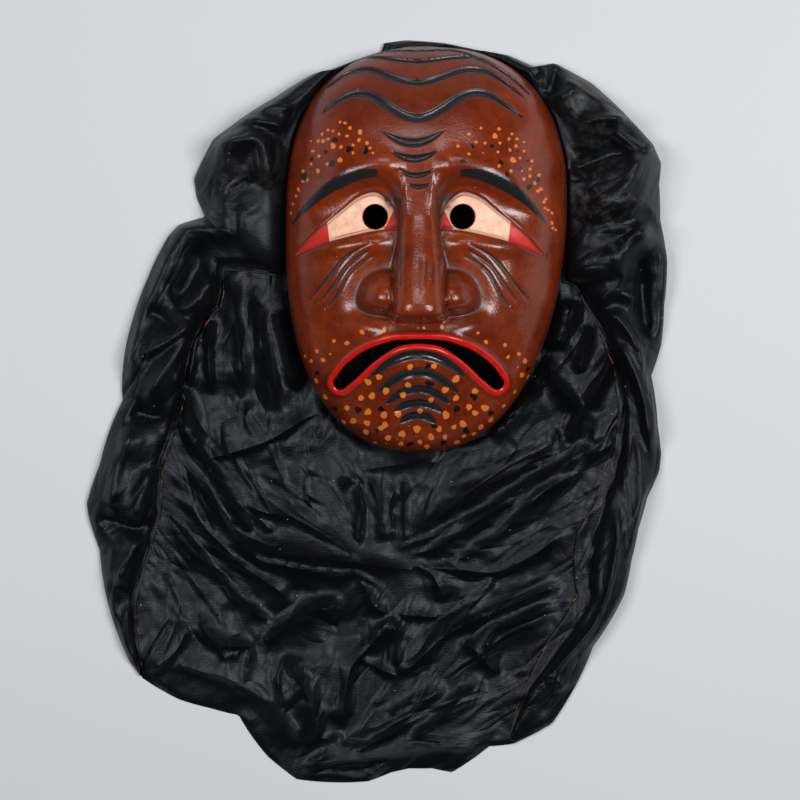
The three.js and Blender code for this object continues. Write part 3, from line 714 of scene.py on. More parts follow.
# folds of the back panel: rise, width to the left and to the right of the route, route
panelFolds = [
    (7, 4, 6, [(230, 269), (234, 305), (241, 351), (245, 400)]),
    (8, 5, 5, [(252, 283), (259, 328), (271, 374), (283, 420)]),
    (8, 4, 5, [(277, 305), (287, 351), (300, 395)]),
    (7, 3, 4, [(199, 328), (195, 351), (190, 390)]),
    (7, 3, 4, [(216, 317), (209, 351), (213, 395)]),
    (7, 2, 5, [(181, 380), (191, 415), (203, 455)]),
    (5, 9, 1.4, [(205, 460), (250, 447), (273, 438), (307, 418), (322, 412)]),
    (3, 3, 3, [(262, 402), (247, 414), (252, 432), (270, 440)]),
    (7, 2, 6, [(176, 414), (198, 448), (211, 469), (226, 495), (242, 516), (260, 543)]),
    (8, 4, 7, [(166, 440), (190, 474), (211, 495), (226, 521), (237, 539), (260, 549), (289, 553),
    (315, 556), (354, 561), (388, 566), (415, 569), (440, 569)]), (5, 7, 3, [(234, 498), (263, 511),
    (289, 516), (310, 526), (331, 539), (357, 555), (388, 566)]), (6, 3, 4, [(237, 541), (263, 560),
    (289, 565), (315, 570), (341, 575), (354, 572), (373, 581), (391, 590)]), (7, 2, 7, [(157, 503),
    (177, 526), (198, 553), (221, 579), (237, 600), (260, 615), (283, 628)]), (5, 5, 5, [(182, 482),
    (192, 503), (205, 526), (226, 547), (247, 568), (279, 589), (297, 610)]), (6, 3, 6, [(258, 646),
    (279, 632), (300, 618), (326, 602), (347, 595)]), (4, 4, 3, [(198, 607), (205, 628), (219, 641),
    (237, 645), (260, 645)]), (4, 3, 3, [(253, 646), (248, 665), (247, 685)]), (3, 2, 3, [(211, 650),
    (221, 641), (226, 656), (237, 652), (243, 668)]), (4, 7, 2, [(166, 669), (185, 665), (203, 670),
    (226, 675), (247, 686), (263, 696), (281, 707)]), (4, 3, 6, [(192, 620), (177, 649), (158, 665),
    (146, 673)]), (6, 3, 6, [(284, 647), (302, 683), (313, 707), (317, 730), (312, 748)]),
    (4, 3, 4, [(281, 670), (284, 694), (283, 712), (308, 744)]), (6, 6, 2, [(344, 732), (344, 707),
    (349, 675), (354, 662), (373, 641), (394, 617)]), (3, 2, 4, [(315, 735), (330, 738), (346, 736)]),
    (5, 5, 3, [(394, 615), (374, 635), (356, 655)]), (5, 3, 4, [(394, 615), (397, 645), (400, 676)]),
    (4, 4, 2, [(396, 613), (415, 615), (445, 617)]), (5, 3, 4, [(354, 573), (368, 590), (374, 605),
    (392, 615)]), (4, 4, 2, [(356, 655), (377, 667), (400, 676)]), (5, 5, 3, [(400, 676), (420, 657),
    (449, 631), (478, 618)]), (5, 5, 4, [(341, 758), (368, 744), (394, 728), (407, 719), (425, 698),
    (449, 686)]), (5, 6, 3, [(294, 766), (331, 760), (368, 756), (400, 750), (437, 745), (466, 744),
    (500, 742)]), (3, 3, 4, [(368, 779), (380, 766), (391, 757)]), (2, 4, 1.5, [(361, 471), (380, 467),
    (404, 464), (440, 461)]), (5, 2, 3, [(361, 473), (359, 495), (361, 521), (360, 553)]),
    (3, 2, 2, [(404, 473), (405, 521), (404, 547)]), (4, 3, 3, [(366, 474), (376, 495), (381, 526),
    (378, 544)]), (3, 3, 3, [(399, 482), (389, 505), (392, 530), (396, 540)]), (4, 3, 5, [(396, 548),
    (412, 542), (440, 532), (470, 512)]), (3, 3, 4, [(279, 435), (274, 456), (289, 492)]),
    (3, 3, 4, [(312, 455), (305, 485), (315, 511), (328, 528)]), (3, 3, 4, [(253, 503), (263, 521),
    (274, 533)]), (3, 3, 3, [(338, 486), (350, 481), (361, 478)]), (6, 4, 5, [(397, 543), (437, 517),
    (475, 491), (509, 474), (541, 456), (583, 452)]), (7, 4, 6, [(394, 557), (437, 546), (481, 517),
    (524, 485), (564, 462), (598, 452)]), (5, 4, 6, [(430, 568), (452, 562), (495, 537), (524, 508),
    (552, 485), (593, 466)]), (5, 6, 3, [(397, 560), (420, 566), (460, 569), (495, 571), (529, 556),
    (552, 540), (569, 525)]), (4, 3, 5, [(495, 574), (480, 600), (460, 617)]), (5, 6, 3, [(409, 562),
    (432, 574), (446, 604)]), (6, 3, 6, [(566, 582), (535, 594), (506, 606), (478, 617), (449, 631),
    (418, 658)]), (5, 5, 3, [(558, 598), (524, 617), (495, 627), (484, 643), (486, 662), (508, 678)]),
    (4, 3, 3, [(458, 640), (476, 650), (484, 668)]), (5, 3, 6, [(403, 743), (437, 719), (466, 693),
    (486, 681)]), (4, 4, 4, [(380, 720), (409, 701), (426, 697), (449, 686)]), (8, 3, 4, [(547, 353),
    (553, 382), (578, 408), (575, 425), (564, 447)]), (8, 3, 4, [(616, 350), (598, 385), (581, 410)]),
    (7, 4, 4, [(489, 442), (509, 416), (541, 390), (553, 384)]), (4, 3, 4, [(552, 422), (558, 445),
    (547, 463), (510, 468)]), (4, 4, 3, [(570, 455), (598, 451), (618, 438)]), (4, 3, 3, [(578, 410),
    (592, 425), (593, 447)]), (6, 3, 4, [(563, 300), (559, 325), (551, 352)]), (7, 3, 4, [(575, 300),
    (569, 325), (560, 352)]), (7, 3, 4, [(590, 325), (584, 350), (577, 375)])]

# folds of the layer that is folded over
overFolds = [
    (3, 4, 3, [(294, 116), (280, 111), (261, 116)]),
    (5, 5, 3, [(232, 130), (250, 124), (271, 129), (292, 132)]),
    (4, 3, 3, [(229, 145), (245, 146), (259, 141), (271, 132)]),
    (7, 5, 7, [(205, 160), (222, 149), (245, 146), (261, 146), (268, 159), (271, 186), (266, 198)]),
    (6, 2, 6, [(241, 222), (250, 208), (264, 201), (284, 202)]),
    (8, 8, 1.5, [(207, 216), (220, 214), (238, 222), (248, 236), (261, 250), (279, 266)]),
    (6, 4, 6, [(179, 226), (199, 226), (227, 233), (250, 243), (277, 266)]),
    (6, 6, 5, [(182, 230), (173, 250), (162, 278), (149, 306), (136, 350), (131, 390)]),
    (-6, 5, 7, [(195, 240), (200, 262), (186, 290), (172, 306)]),
    (7, 5, 4, [(217, 275), (209, 288), (195, 305), (176, 312)]),
    (-5, 4, 5, [(144, 310), (158, 315), (170, 326), (180, 334)]),
    (6, 1.5, 7, [(202, 321), (179, 338), (156, 351), (138, 362)]),
    (6, 5, 5, [(198, 328), (183, 351), (166, 374), (155, 392), (146, 408)]),
    (5, 3, 3, [(194, 352), (182, 374), (177, 392)]),
    (-6, 5, 5, [(132, 409), (148, 416), (170, 416)]),
    (5, 5, 5, [(128, 419), (131, 445), (121, 466), (115, 498), (110, 516)]),
    (-4, 3, 3, [(98, 516), (119, 523), (140, 528), (152, 515)]),
    (5, 5, 4, [(143, 531), (131, 558), (118, 586)]),
    (5, 5, 4, [(156, 466), (146, 492), (133, 521)]),
    (3, 3, 3, [(129, 600), (129, 635), (137, 664)]),
    (-6, 3, 3, [(547, 101), (552, 82), (555, 66)]),
    (-3, 3, 3, [(531, 80), (541, 72)]),
    (4, 3, 3, [(552, 101), (565, 99), (571, 90), (562, 84)]),
    (7, 7, 1.6, [(660, 163), (653, 149), (631, 127), (612, 123), (590, 125), (568, 127)]),
    (-6, 6, 6, [(614, 125), (629, 140), (645, 150)]),
    (-9, 7, 4, [(567, 174), (590, 165), (616, 158), (632, 156)]),
    (8, 10, 8, [(634, 152), (626, 180), (606, 203), (580, 212)]),
    (6, 7, 3, [(567, 228), (584, 226), (606, 212), (627, 205), (645, 209), (656, 222), (664, 238)]),
    (4, 6, 1.6, [(653, 227), (624, 230), (594, 232), (571, 230)]),
    (9, 9, 1.6, [(653, 227), (633, 235), (613, 252), (594, 262), (576, 259), (563, 247)]),
    (-8, 5, 5, [(641, 245), (642, 295), (648, 345)]),
    (7, 4, 4, [(661, 234), (665, 259), (663, 295), (658, 345)]),
    (7, 3, 6, [(584, 270), (604, 264), (615, 267), (620, 276), (614, 287), (592, 303)]),
    (5, 4, 5, [(591, 305), (616, 294), (639, 304)]),
    (6, 4, 5, [(597, 306), (620, 325), (635, 352), (643, 380)]),
    (7, 8, 1.5, [(610, 335), (626, 362), (639, 396), (645, 431), (649, 458)]),
    (4, 3, 4, [(650, 367), (656, 400), (659, 437)]),
    (5, 5, 5, [(624, 416), (635, 445), (638, 479), (635, 531), (623, 588), (603, 626), (588, 655)]),
    (6, 5, 3, [(607, 492), (615, 531), (607, 583), (593, 621), (560, 662), (541, 690)]),
    (4, 4, 3, [(541, 670), (556, 678), (562, 692)]),
    (4, 4, 4, [(516, 700), (541, 674)])]


def route(points, step=4.0, pixels=True):  # smooth line through its points, as places in mm
    p = np.array([spot(*q) for q in points]) if pixels else np.array(points)
    ends = np.vstack([2 * p[0] - p[1], p, 2 * p[-1] - p[-2]])
    line = []
    for i in range(1, len(ends) - 2):
        a, b, c, d = ends[i - 1:i + 3]
        n = max(2, int(np.hypot(*(c - b)) / step))
        for t in np.arange(n) / n:
            line.append(.5 * (2 * b + (c - a) * t + (2 * a - 5 * b + 4 * c - d) * t ** 2
                              + (3 * b - a - 3 * c + d) * t ** 3))
    line.append(p[-1])
    return np.array(line)


def foldRelief(x, y, folds, soft=.3):  # sharp crests that die away at their own rate on either side
    high, deep = np.zeros_like(x), np.zeros_like(x)
    for rise, left, right, points in folds:
        line = route(points)
        reach = 3.6 * hoodForm["flank"] * max(left, right)
        near = ((x > line[:, 0].min() - reach) & (x < line[:, 0].max() + reach)
                & (y > line[:, 1].min() - reach) & (y < line[:, 1].max() + reach))
        px, py = x[near], y[near]
        gap = np.full(px.shape, 1e9)
        side = np.zeros(px.shape)
        along = np.zeros(px.shape)
        for i in range(len(line) - 1):
            (ax, ay), (bx, by) = line[i], line[i + 1]
            dx, dy = bx - ax, by - ay
            t = clamp01(((px - ax) * dx + (py - ay) * dy) / (dx * dx + dy * dy))
            d = np.hypot(px - ax - t * dx, py - ay - t * dy)
            closer = d < gap
            gap = np.where(closer, d, gap)
            side = np.where(closer, (dx * (py - ay) - dy * (px - ax)) / np.hypot(dx, dy), side)
            along = np.where(closer, (i + t) / (len(line) - 1), along)
        width = np.maximum(right + (left - right) * ease(-.4, .4, side), soft * 2)
        crest = np.exp(-(np.sqrt(gap ** 2 + soft ** 2) - soft) / (hoodForm["flank"] * width))
        level = abs(rise) * clamp01((crest - .03) / .97) * ease(-.02, .22, along) * ease(1.02, .78, along)
        (high if rise > 0 else deep)[near] += level ** 3
    return hoodForm["foldRise"] * (np.cbrt(high) - np.cbrt(deep))


def smoothNoise(x, y, size, seed):
    grid = np.random.default_rng(seed).random((64, 64)) * 2 - 1
    fx, fy = x / size + 31.7, y / size + 27.3
    i, j = np.floor(fx).astype(int), np.floor(fy).astype(int)
    s, t = fx - i, fy - j
    s, t = s * s * (3 - 2 * s), t * t * (3 - 2 * t)
    i, j, k, l = i % 64, j % 64, (i + 1) % 64, (j + 1) % 64
    return (grid[j, i] * (1 - s) + grid[j, k] * s) * (1 - t) + (grid[l, i] * (1 - s) + grid[l, k] * s) * t


# creases follow the lie of the cloth: at each named place (photo pixels) the way they run, in degrees
panelGrain = [
    (235, 300, 85), (270, 360, 95), (300, 430, 75), (200, 350, 80), (230, 450, 120), (200, 500, 130),
    (180, 560, 128), (230, 580, 135), (270, 540, 150), (330, 550, 172), (300, 490, 140), (345, 500, 120),
    (362, 520, 92), (405, 510, 95), (440, 510, 40), (480, 490, 35), (540, 440, 40), (590, 380, 60),
    (570, 330, 75), (560, 420, 55), (520, 530, 25), (460, 570, 170), (550, 560, 40), (530, 610, 30),
    (470, 620, 35), (440, 660, 45), (480, 690, 35), (400, 640, 80), (370, 620, 55), (350, 690, 85),
    (390, 720, 35), (320, 620, 160), (270, 600, 35), (250, 650, 80), (200, 620, 120), (170, 640, 60),
    (300, 680, 70), (300, 730, 60), (250, 700, 150), (340, 760, 5), (430, 745, 15), (490, 720, 30)]
overGrain = [
    (215, 180, 60), (250, 120, 30), (270, 170, 95), (240, 200, 25), (220, 225, 165), (180, 250, 70),
    (160, 300, 60), (200, 290, 75), (150, 350, 55), (170, 380, 60), (140, 400, 45), (115, 450, 80),
    (140, 480, 65), (120, 530, 40), (125, 580, 75), (132, 640, 95), (400, 45, 5), (520, 65, 150),
    (550, 85, 100), (590, 100, 150), (630, 140, 140), (600, 170, 20), (640, 190, 60), (600, 220, 20),
    (610, 245, 25), (655, 280, 92), (600, 290, 60), (620, 330, 115), (650, 380, 100), (640, 440, 95),
    (640, 500, 80), (620, 560, 80), (600, 600, 65), (570, 650, 50), (540, 690, 45)]


def grainAt(x, y, grain):  # twice the angle that the cloth lies at, and its weight: near places weigh most
    px, py, turn = np.array(grain, float).T
    gx, gy = spot(px, py)
    turn = np.radians(turn) * 2
    w = 1 / ((x - gx) ** 2 + (y - gy) ** 2 + 60) ** 1.5
    return (w * np.cos(turn)).sum(-1), (w * np.sin(turn)).sum(-1), w.sum(-1)


west, north = spot(70, 25)  # corners of the field that the cloth lies in
east, south = spot(680, 800)


def creaseNet(grain, gap, tall, length, seed):  # ridges and valleys run with the grain, facets between them
    rng = np.random.default_rng(seed)
    cells = (east - west) * (north - south) / gap ** 2
    taken, signs = np.full((1, 2), 1e6), np.ones(1)
    places, heights, edges, lines = [], [], [], []
    step = gap * .35

    def clear(p, room):
        return np.hypot(taken[:, 0] - p[0], taken[:, 1] - p[1]).min() > room

    def trace(p, way, wobble, steps):
        heading, found = None, []
        for k in range(steps):
            c, s, _ = grainAt(*p, grain)
            angle = math.atan2(s, c) / 2 + wobble
            d = np.array([math.cos(angle), math.sin(angle)]) * way
            d = -d if heading is not None and d @ heading < 0 else d
            heading, p = d, p + d * step
            if not clear(p, gap * .55):
                break
            found.append(p)
        return found

    for k in range(int(cells * 6)):  # six tries for each cell of the field fill it
        middle = np.array([rng.uniform(west, east), rng.uniform(south, north)])
        wobble, share, size, flip = rng.normal(0, .13), rng.uniform(.3, 1), rng.uniform(.5, 1), rng.random()
        if not clear(middle, gap * .7):
            continue
        steps = int(length * share / step / 2)
        line = np.array(trace(middle, -1, wobble, steps)[::-1] + [middle] + trace(middle, 1, wobble, steps))
        if len(line) < 4:
            continue
        near = np.hypot(taken[:, 0] - middle[0], taken[:, 1] - middle[1]).argmin()
        sign = signs[near] * (-1 if flip < .85 else 1)
        size = size * (.8 + .45 * float(smoothNoise(middle[:1], middle[1:], 60, seed)[0]))
        n = len(line)
        ends = np.minimum(np.arange(n), np.arange(n)[::-1])  # points to the nearer end, where it is low
        edges += [(len(places) + m, len(places) + m + 1) for m in range(n - 1)]
        places += list(line)
        heights += list(tall * size * sign * np.minimum(1, (.3 + ends) * step / gap / .9))
        lines.append(route(line, 2.2, False))
        taken = np.vstack([taken, line])
        signs = np.concatenate([signs, np.full(n, sign)])
    far = 50
    places += [(west - far, south - far), (east + far, south - far), (east + far, north + far),
               (west - far, north + far)]
    heights += [0] * 4
    spots, _, triangles, origins, _, _ = delaunay_2d_cdt([Vector(p) for p in places], edges, [], 0, 1e-4)
    level = [float(heights[o[0]]) if o else 0 for o in origins]
    return BVHTree.FromPolygons([(p.x, p.y, h) for p, h in zip(spots, level)], triangles), lines


def creaseHeight(nets, x, y):
    down = Vector((0, 0, -1))
    found = np.zeros(x.size)
    for net, _ in nets:
        for i, (px, py) in enumerate(zip(x.ravel(), y.ravel())):
            hit = net.ray_cast(Vector((px, py, 200)), down)[0]
            found[i] += hit.z if hit else 0
    return found.reshape(x.shape)


panelNets = [creaseNet(panelGrain, *net) for net in hoodForm["panelCreases"]]
overNets = [creaseNet(overGrain, *net) for net in hoodForm["overCreases"]]
panelLines = panelNets[1][1]


def around(x, y):  # angle and distance from the hood's centre
    cx, cy = hoodForm["centre"]
    return np.arctan2(y - cy, x - cx), np.hypot(x - cx, y - cy)


def farAt(angle, turn, far):  # distance at an angle, between places round the centre in any order
    order = np.argsort(turn)
    return np.interp(angle, turn[order], far[order], period=2 * np.pi)


def outlineReach(angle):
    return farAt(angle, *around(*spot(*np.array(hoodOutline).T)))


def outlinePlace(angle):
    cx, cy = hoodForm["centre"]
    reach = outlineReach(angle)
    return cx + reach * np.cos(angle), cy + reach * np.sin(angle)


def maskShare(x, y):  # 1 at the mask's rim
    return eggRadius(x - maskForm["place"][0], y - maskForm["place"][1])


def stations():  # by angle: fold, free edge, height, and whether the layer ends under the rim
    px, py, _ = maskForm["place"]
    rows = [(around(*spot(*outer))[0], *spot(*fold), *spot(*edge), rise, 0)
            for outer, fold, edge, rise in overLeft + overRight]
    for outer, rise in puffRise:
        ox, oy = spot(*outer)
        angle = math.atan2(oy - py + 10, ox - px)
        fu, fv = eggPoint(1.006, angle)
        eu, ev = eggPoint(.955, angle)
        rows.append((around(ox, oy)[0], px + fu, py + fv, px + eu, py + ev, rise, 1))
    return np.array(sorted(rows))


def overLayer(angle, share):  # the layer on top: share runs from 0 to 1 at the fold and on to 2 at the edge
    table = stations()
    fx, fy, ex, ey, rise, rim = [
        np.interp(angle, table[:, 0], column, period=2 * np.pi) for column in table.T[1:]]
    ox, oy = outlinePlace(angle)
    t = np.minimum(share, 1)
    e = clamp01(share - 1)
    inward = e + (clamp01(e * 4 / 3 - 1 / 3) - e) * rim
    x = ox + (fx - ox) * t + (ex - fx) * inward
    y = oy + (fy - oy) * t + (ey - fy) * inward
    slant = .4 + .2 * smoothNoise(ox, oy, 24, 41)  # share of the way over which it rises from the floor
    roll = np.sin(clamp01(t / slant) * np.pi / 2) ** .8
    fall = .78 + .12 * rim  # and from which it turns down into the fold
    tuck = np.sqrt(clamp01(1 - clamp01((t - fall) / (1 - fall)) ** 2))
    tuck = tuck + (1 - .3 * ease(.7, 1, t) - tuck) * rim
    z = 1.6 + rise * roll * (.12 + .88 * tuck)
    return x, y, z, roll * tuck * (1 - .6 * rim * ease(.85, 1, t)), rim, e


def panelHeight(x, y):
    z = 2.5 + foldRelief(x, y, panelFolds)
    z = z + 1.6 * smoothNoise(x, y, 38, 3) + creaseHeight(panelNets, x, y)
    calm = ease(.99, 1.05, maskShare(x, y))  # pressed flat under the mask
    return .5 + np.maximum(z - .5, .2) * (.06 + .94 * calm)


def evenRing(count):  # angles of points spread evenly along the outline
    turn = np.linspace(-np.pi, np.pi, 4000)
    reach = outlineReach(turn)
    x, y = reach * np.cos(turn), reach * np.sin(turn)
    run = np.concatenate([[0], np.cumsum(np.hypot(np.diff(x), np.diff(y)))])
    return np.interp(np.arange(count) * run[-1] / count, run, turn)


def lattice(pitch):  # staggered rows of points over the whole cloth
    rows = np.arange(south, north, pitch * .866)  # even triangles
    x = np.arange(west, east, pitch)
    gx, gy = np.meshgrid(x, rows)
    gx = gx + (np.arange(len(rows)) % 2)[:, None] * pitch / 2
    return gx.ravel(), gy.ravel()


def seenPanel(x, y):  # the part of the back panel that neither the mask nor the folded-over layer hides
    table = stations()
    angle, far = around(x, y)
    edge = farAt(angle, *around(table[:, 3], table[:, 4]))
    hem = (angle > hemEnds[0]) & (angle < hemEnds[1])
    return (maskShare(x, y) > .96) & ((far < edge + 5) | hem)


# the angles between which the cloth ends in a plain hem
hemEnds = [around(*spot(*q))[0] for q in ((143, 678), (511, 744))]


def panelNet(ringAngle):  # points and triangles of the back panel, with edges along every crest
    places = list(zip(*outlinePlace(ringAngle)))
    edges = [(i, (i + 1) % len(places)) for i in range(len(places))]
    for line in [route(f[3], 2.2) for f in panelFolds] + panelLines:
        angle, far = around(*line.T)
        line = line[(far < outlineReach(angle) - 2.5) & seenPanel(*line.T)]
        if len(line) < 3 or (np.diff(line, axis=0) ** 2).sum(1).max() > 30:
            continue
        edges += [(len(places) + k, len(places) + k + 1) for k in range(len(line) - 1)]
        places += [tuple(p) for p in line]
    tree = KDTree(len(places))
    for k, p in enumerate(places):
        tree.insert((p[0], p[1], 0), k)
    tree.balance()
    for pitch, seen in ((hoodForm["pitch"], True), (hoodForm["hiddenPitch"], False)):
        x, y = lattice(pitch)
        angle, far = around(x, y)
        keep = (far < outlineReach(angle) - pitch * .6) & (seenPanel(x, y) == seen)
        places += [p for p in zip(x[keep], y[keep]) if tree.find((*p, 0))[2] > pitch * .62]
    spots, _, faces, _, _, _ = delaunay_2d_cdt([Vector(p) for p in places], edges, [], 1, 1e-4)
    return np.array([tuple(p) for p in spots]), [list(f) for f in faces]


def makeHood():
    ringAngle = evenRing(hoodForm["spokes"])
    flat, faces = panelNet(ringAngle)
    x, y = flat.T
    angle, far = around(x, y)
    z = .5 + (panelHeight(x, y) - .5) * np.sqrt(ease(1, .975, far / outlineReach(angle)))
    verts = [np.stack([x, y, z], -1)]
    count, n = len(x), len(ringAngle)
    use = (ringAngle > hemEnds[1]) | (ringAngle < hemEnds[0])
    shares = list((np.arange(1, hoodForm["rings"] + 1) / hoodForm["rings"]) ** 1.15)
    shares += [1 + (k + 1) / hoodForm["edgeRings"] for k in range(hoodForm["edgeRings"])]
    last = np.arange(n)
    for share in shares:
        lx, ly, lz, keep, rim, e = overLayer(ringAngle, np.full(n, share))
        relief = 1.25 * foldRelief(lx, ly, overFolds, .7) + 1.2 * smoothNoise(lx, ly, 26, 23)
        relief = relief + creaseHeight(overNets, lx, ly)
        lz = lz + relief * (.3 + .7 * keep) * (e < .01)
        below = panelHeight(lx, ly) if share > 1 else 0
        # under the mask it lies flat, elsewhere its free edge rests on the panel
        lz = np.where(rim > .5, np.where(e > 0, 2.4, np.maximum(lz, 3)), np.maximum(lz, 2.2))
        lz = np.where((rim <= .5) & (e > 0), below + 1.0, lz)
        verts.append(np.stack([lx, ly, lz], -1))
        ids = np.arange(count, count + n)
        count += n
        pairs = [(i, (i + 1) % n) for i in range(n)]
        faces += [[last[i], last[j], ids[j], ids[i]] for i, j in pairs if use[i] and use[j]]
        last = ids
    made = newPiece("gatheredHood", np.vstack(verts), [[int(k) for k in f] for f in faces])
    raw = np.zeros(count)
    raw[-n:] = use & (rim < .5)
    setFloat(made.data, "rawEdge", raw)
    setFloat(made.data, "above", np.arange(count) >= len(x))
    dropLoose(made.data)
    return made


def dropLoose(mesh):  # unused points go, and every face shows the same side of the cloth
    bm = bmesh.new()
    bm.from_mesh(mesh)
    bmesh.ops.delete(bm, geom=[v for v in bm.verts if not v.link_faces], context="VERTS")
    bmesh.ops.recalc_face_normals(bm, faces=bm.faces)
    bm.to_mesh(mesh)
    bm.free()


def keepCrests(mesh):  # sharp edges only on the back panel, whose net runs along its crests
    above = readAll(mesh.attributes["above"].data, "value")
    ends = readAll(mesh.edges, "vertices", 2, np.int32)
    edges = mesh.attributes["sharp_edge"].data
    sharp = readAll(edges, "value", 1, bool)
    edges.foreach_set("value", sharp & (above[ends].reshape(-1, 2).min(1) < .5))


def clothMaterial():  # thin woven polyester: black, with a soft silvery sheen on its creases
    made, tree = newMaterial("black lining taffeta")
    where = addNode(tree, "TexCoord").outputs["Object"]
    grain = addNode(tree, "Attribute", {"attribute_name": "grain"}).outputs["Vector"]
    total = None
    for k in range(6):  # small creases in six turned patterns, each seen where the grain is near its own way
        turn = math.pi * k / 6
        way = (math.cos(2 * turn), math.sin(2 * turn), 0)
        share = addNode(tree, "VectorMath", {"operation": "DOT_PRODUCT"}, {1: way}, {0: grain})
        near = addNode(tree, "MapRange", inputs={1: .45, 2: .95}, links={0: share.outputs["Value"]})
        placed = addNode(tree, "Mapping", links={"Vector": where},
                         inputs={"Rotation": (0, 0, -turn), "Location": (k * 1.7, k * .9, 0)})
        drawnOut = addNode(tree, "VectorMath", {"operation": "MULTIPLY"}, {1: (.27, 1, .5)}, {0: placed})
        lines = addNode(tree, "TexNoise", links={"Vector": drawnOut}, inputs={
            "Scale": perMetre(hoodForm["streaks"]), "Detail": 1.4, "Roughness": .36, "Distortion": .7})
        apart = addNode(tree, "Math", {"operation": "SUBTRACT"}, {1: .5}, {0: lines})
        ridge = addNode(tree, "Math", {"operation": "ABSOLUTE"}, links={0: apart})
        part = addNode(tree, "Math", {"operation": "MULTIPLY"}, links={0: ridge, 1: near})
        total = addNode(tree, "Math", {"operation": "ADD"}, links={0: total, 1: part}) if total else part
    cloudy = addNode(tree, "TexNoise", links={"Vector": where},
                     inputs={"Scale": perMetre(hoodForm["patch"]), "Detail": 6, "Roughness": .7})
    shown = []
    # dust and loose thread: where each starts and is full, in the cloudy pattern and in its own mark
    for name, cloud, ownMark in (("dust", (.5, .72), (0, 1)), ("rawEdge", (.54, .62), (.62, .8))):
        read = addNode(tree, "Attribute", {"attribute_name": name}).outputs["Fac"]
        patches = addNode(tree, "MapRange", inputs=dict(zip((1, 2), cloud)), links={0: cloudy})
        strength = addNode(tree, "MapRange", inputs=dict(zip((1, 2), ownMark)), links={0: read})
        shown.append(addNode(tree, "Math", {"operation": "MULTIPLY"}, links={0: patches, 1: strength}))
    specks = dustSpecks(tree, where, hoodForm["specks"], .05, .8)
    dusty = addNode(tree, "Mix", {"data_type": "RGBA"},
                    {6: hexColour(hoodForm["black"]), 7: hexColour(hoodForm["dust"])}, {0: shown[0]})
    colour = layered(tree, dusty.outputs[2], [
        (shown[1], hoodForm["thread"]), (specks, hoodForm["speckTint"])])
    drawn = addNode(tree, "VectorMath", {"operation": "MULTIPLY"}, {1: (.25, 1, 1)}, {0: where})
    threads = addNode(tree, "TexNoise", links={"Vector": drawn},
                      inputs={"Scale": perMetre(hoodForm["threads"]), "Detail": 2, "Roughness": .7})
    creases = addNode(tree, "Bump", inputs={"Strength": 1, "Distance": hoodForm["creaseDepth"] * mm},
                      links={"Height": total})
    bump = addNode(tree, "Bump", inputs={"Strength": .5, "Distance": .0004},
                   links={"Height": threads, "Normal": creases})
    shader = addNode(tree, "BsdfPrincipled", links={"Base Color": colour, "Normal": bump}, inputs={
        "Roughness": .43, "Specular IOR Level": .26, "Specular Tint": (.86, .92, 1, 1), "Sheen Weight": .02,
        "Sheen Roughness": .4})
    addNode(tree, "OutputMaterial", links={0: shader})
    return made


# dusty places: photo pixels, reach in mm, strength
dustPlaces = [(592, 195, 22, 1), (602, 212, 14, 1), (585, 100, 16, .7), (600, 130, 20, .5),
              (258, 180, 22, .4)]


def markGrain(mesh):  # which way the cloth lies, for the small creases of its material, and its dusty places
    x, y, _ = pointsOf(mesh).T
    upper = readAll(mesh.attributes["above"].data, "value") > .5
    grain = np.zeros((len(x), 3), np.float32)
    for some, names in ((~upper, panelGrain), (upper, overGrain)):
        c, s, weight = grainAt(x[some, None], y[some, None], names)
        grain[some] = np.stack([c, s, 0 * c], 1) / np.maximum(np.hypot(c, s), .7 * weight)[:, None]
    mesh.attributes.new("grain", "FLOAT_VECTOR", "POINT").data.foreach_set("vector", grain.ravel())
    dust = np.zeros(len(x))
    for px, py, wide, share in dustPlaces:
        gx, gy = spot(px, py)
        dust = np.maximum(dust, share * hill(np.hypot(x - gx, y - gy), wide))
    setFloat(mesh, "dust", dust)


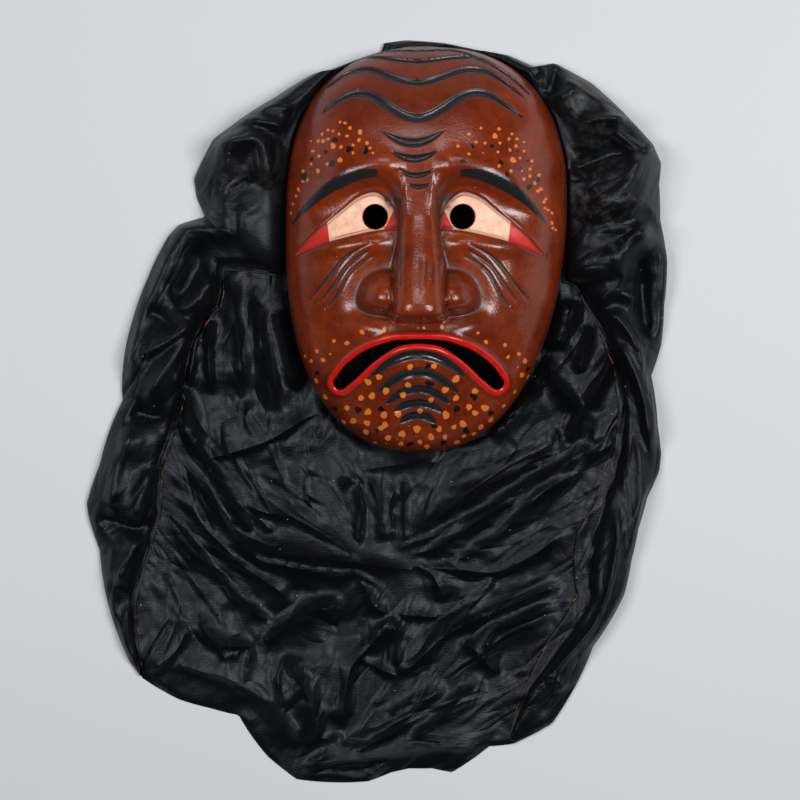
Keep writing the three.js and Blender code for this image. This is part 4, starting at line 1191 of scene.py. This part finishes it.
gatheredHood = makeHood()
print("cloth area, m2", round(sum(p.area for p in gatheredHood.data.polygons), 3))
markGrain(gatheredHood.data)
bakeStep(gatheredHood, "SOLIDIFY", {"thickness": hoodForm["thick"] * mm, "offset": 0})
gatheredHood.data.materials.append(clothMaterial())
finishShape(gatheredHood, hoodForm["sharp"])
keepCrests(gatheredHood.data)
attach(gatheredHood, "root")
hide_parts("hood")
print("hood gathered and folded")

# stage: pale floor and studio light

studio = {
    "floor": "#cbccd0",
    "reach": 3000,  # mm from the middle of the floor to its edges
    "world": 0.03,
    # softboxes: place in metres, width and height, power in watts, what they face
    "boxes": {
        "keyRight": ((0.78, 0.15, 1.35), (0.50, 0.60), 17.0, (0.03, 0.05, 0)),
        "keyLeft": ((-0.75, 0.15, 1.35), (0.45, 0.60), 11.5, (0.03, 0.05, 0)),
        "top": ((0.03, 1.00, 1.35), (0.50, 0.30), 3.4, (0.03, 0.05, 0)),
        "lowRight": ((1.35, 0.30, 0.22), (1.2, 0.36), 1.4, (0.02, 0.10, 0.05)),
        "lowLeft": ((-1.35, 0.50, 0.22), (0.9, 0.36), 0.6, (0.0, 0.10, 0.05)),
        "far": ((0.0, 1.60, 0.25), (1.3, 0.4), 0.8, (0.02, 0.05, 0.05)),
    },
}


def makeStage():
    far = studio["reach"]
    corners = [(-far, -far, 0), (far, -far, 0), (far, far, 0), (-far, far, 0)]
    floor = newPiece("floor", corners, [(0, 1, 2, 3)])
    made, tree = newMaterial("paper backdrop")
    shader = addNode(tree, "BsdfPrincipled", inputs={
        "Base Color": hexColour(studio["floor"]), "Roughness": .9, "Specular IOR Level": .1})
    addNode(tree, "OutputMaterial", links={0: shader})
    floor.data.materials.append(made)
    for name, (place, size, power, aim) in studio["boxes"].items():
        data = bpy.data.lights.new(name, "AREA")
        data.shape = "RECTANGLE"
        data.size, data.size_y = size
        data.energy = power
        lamp = bpy.data.objects.new(name, data)
        lamp.location = place
        lamp.rotation_euler = (Vector(aim) - Vector(place)).to_track_quat("-Z", "Y").to_euler()
        bpy.context.collection.objects.link(lamp)
    world = bpy.data.worlds.new("studio")
    bpy.context.scene.world = world
    world.use_nodes = True
    light = world.node_tree.nodes["Background"]
    light.inputs[0].default_value = (1, 1, 1, 1)
    light.inputs[1].default_value = studio["world"]


makeStage()
print("stage lit")
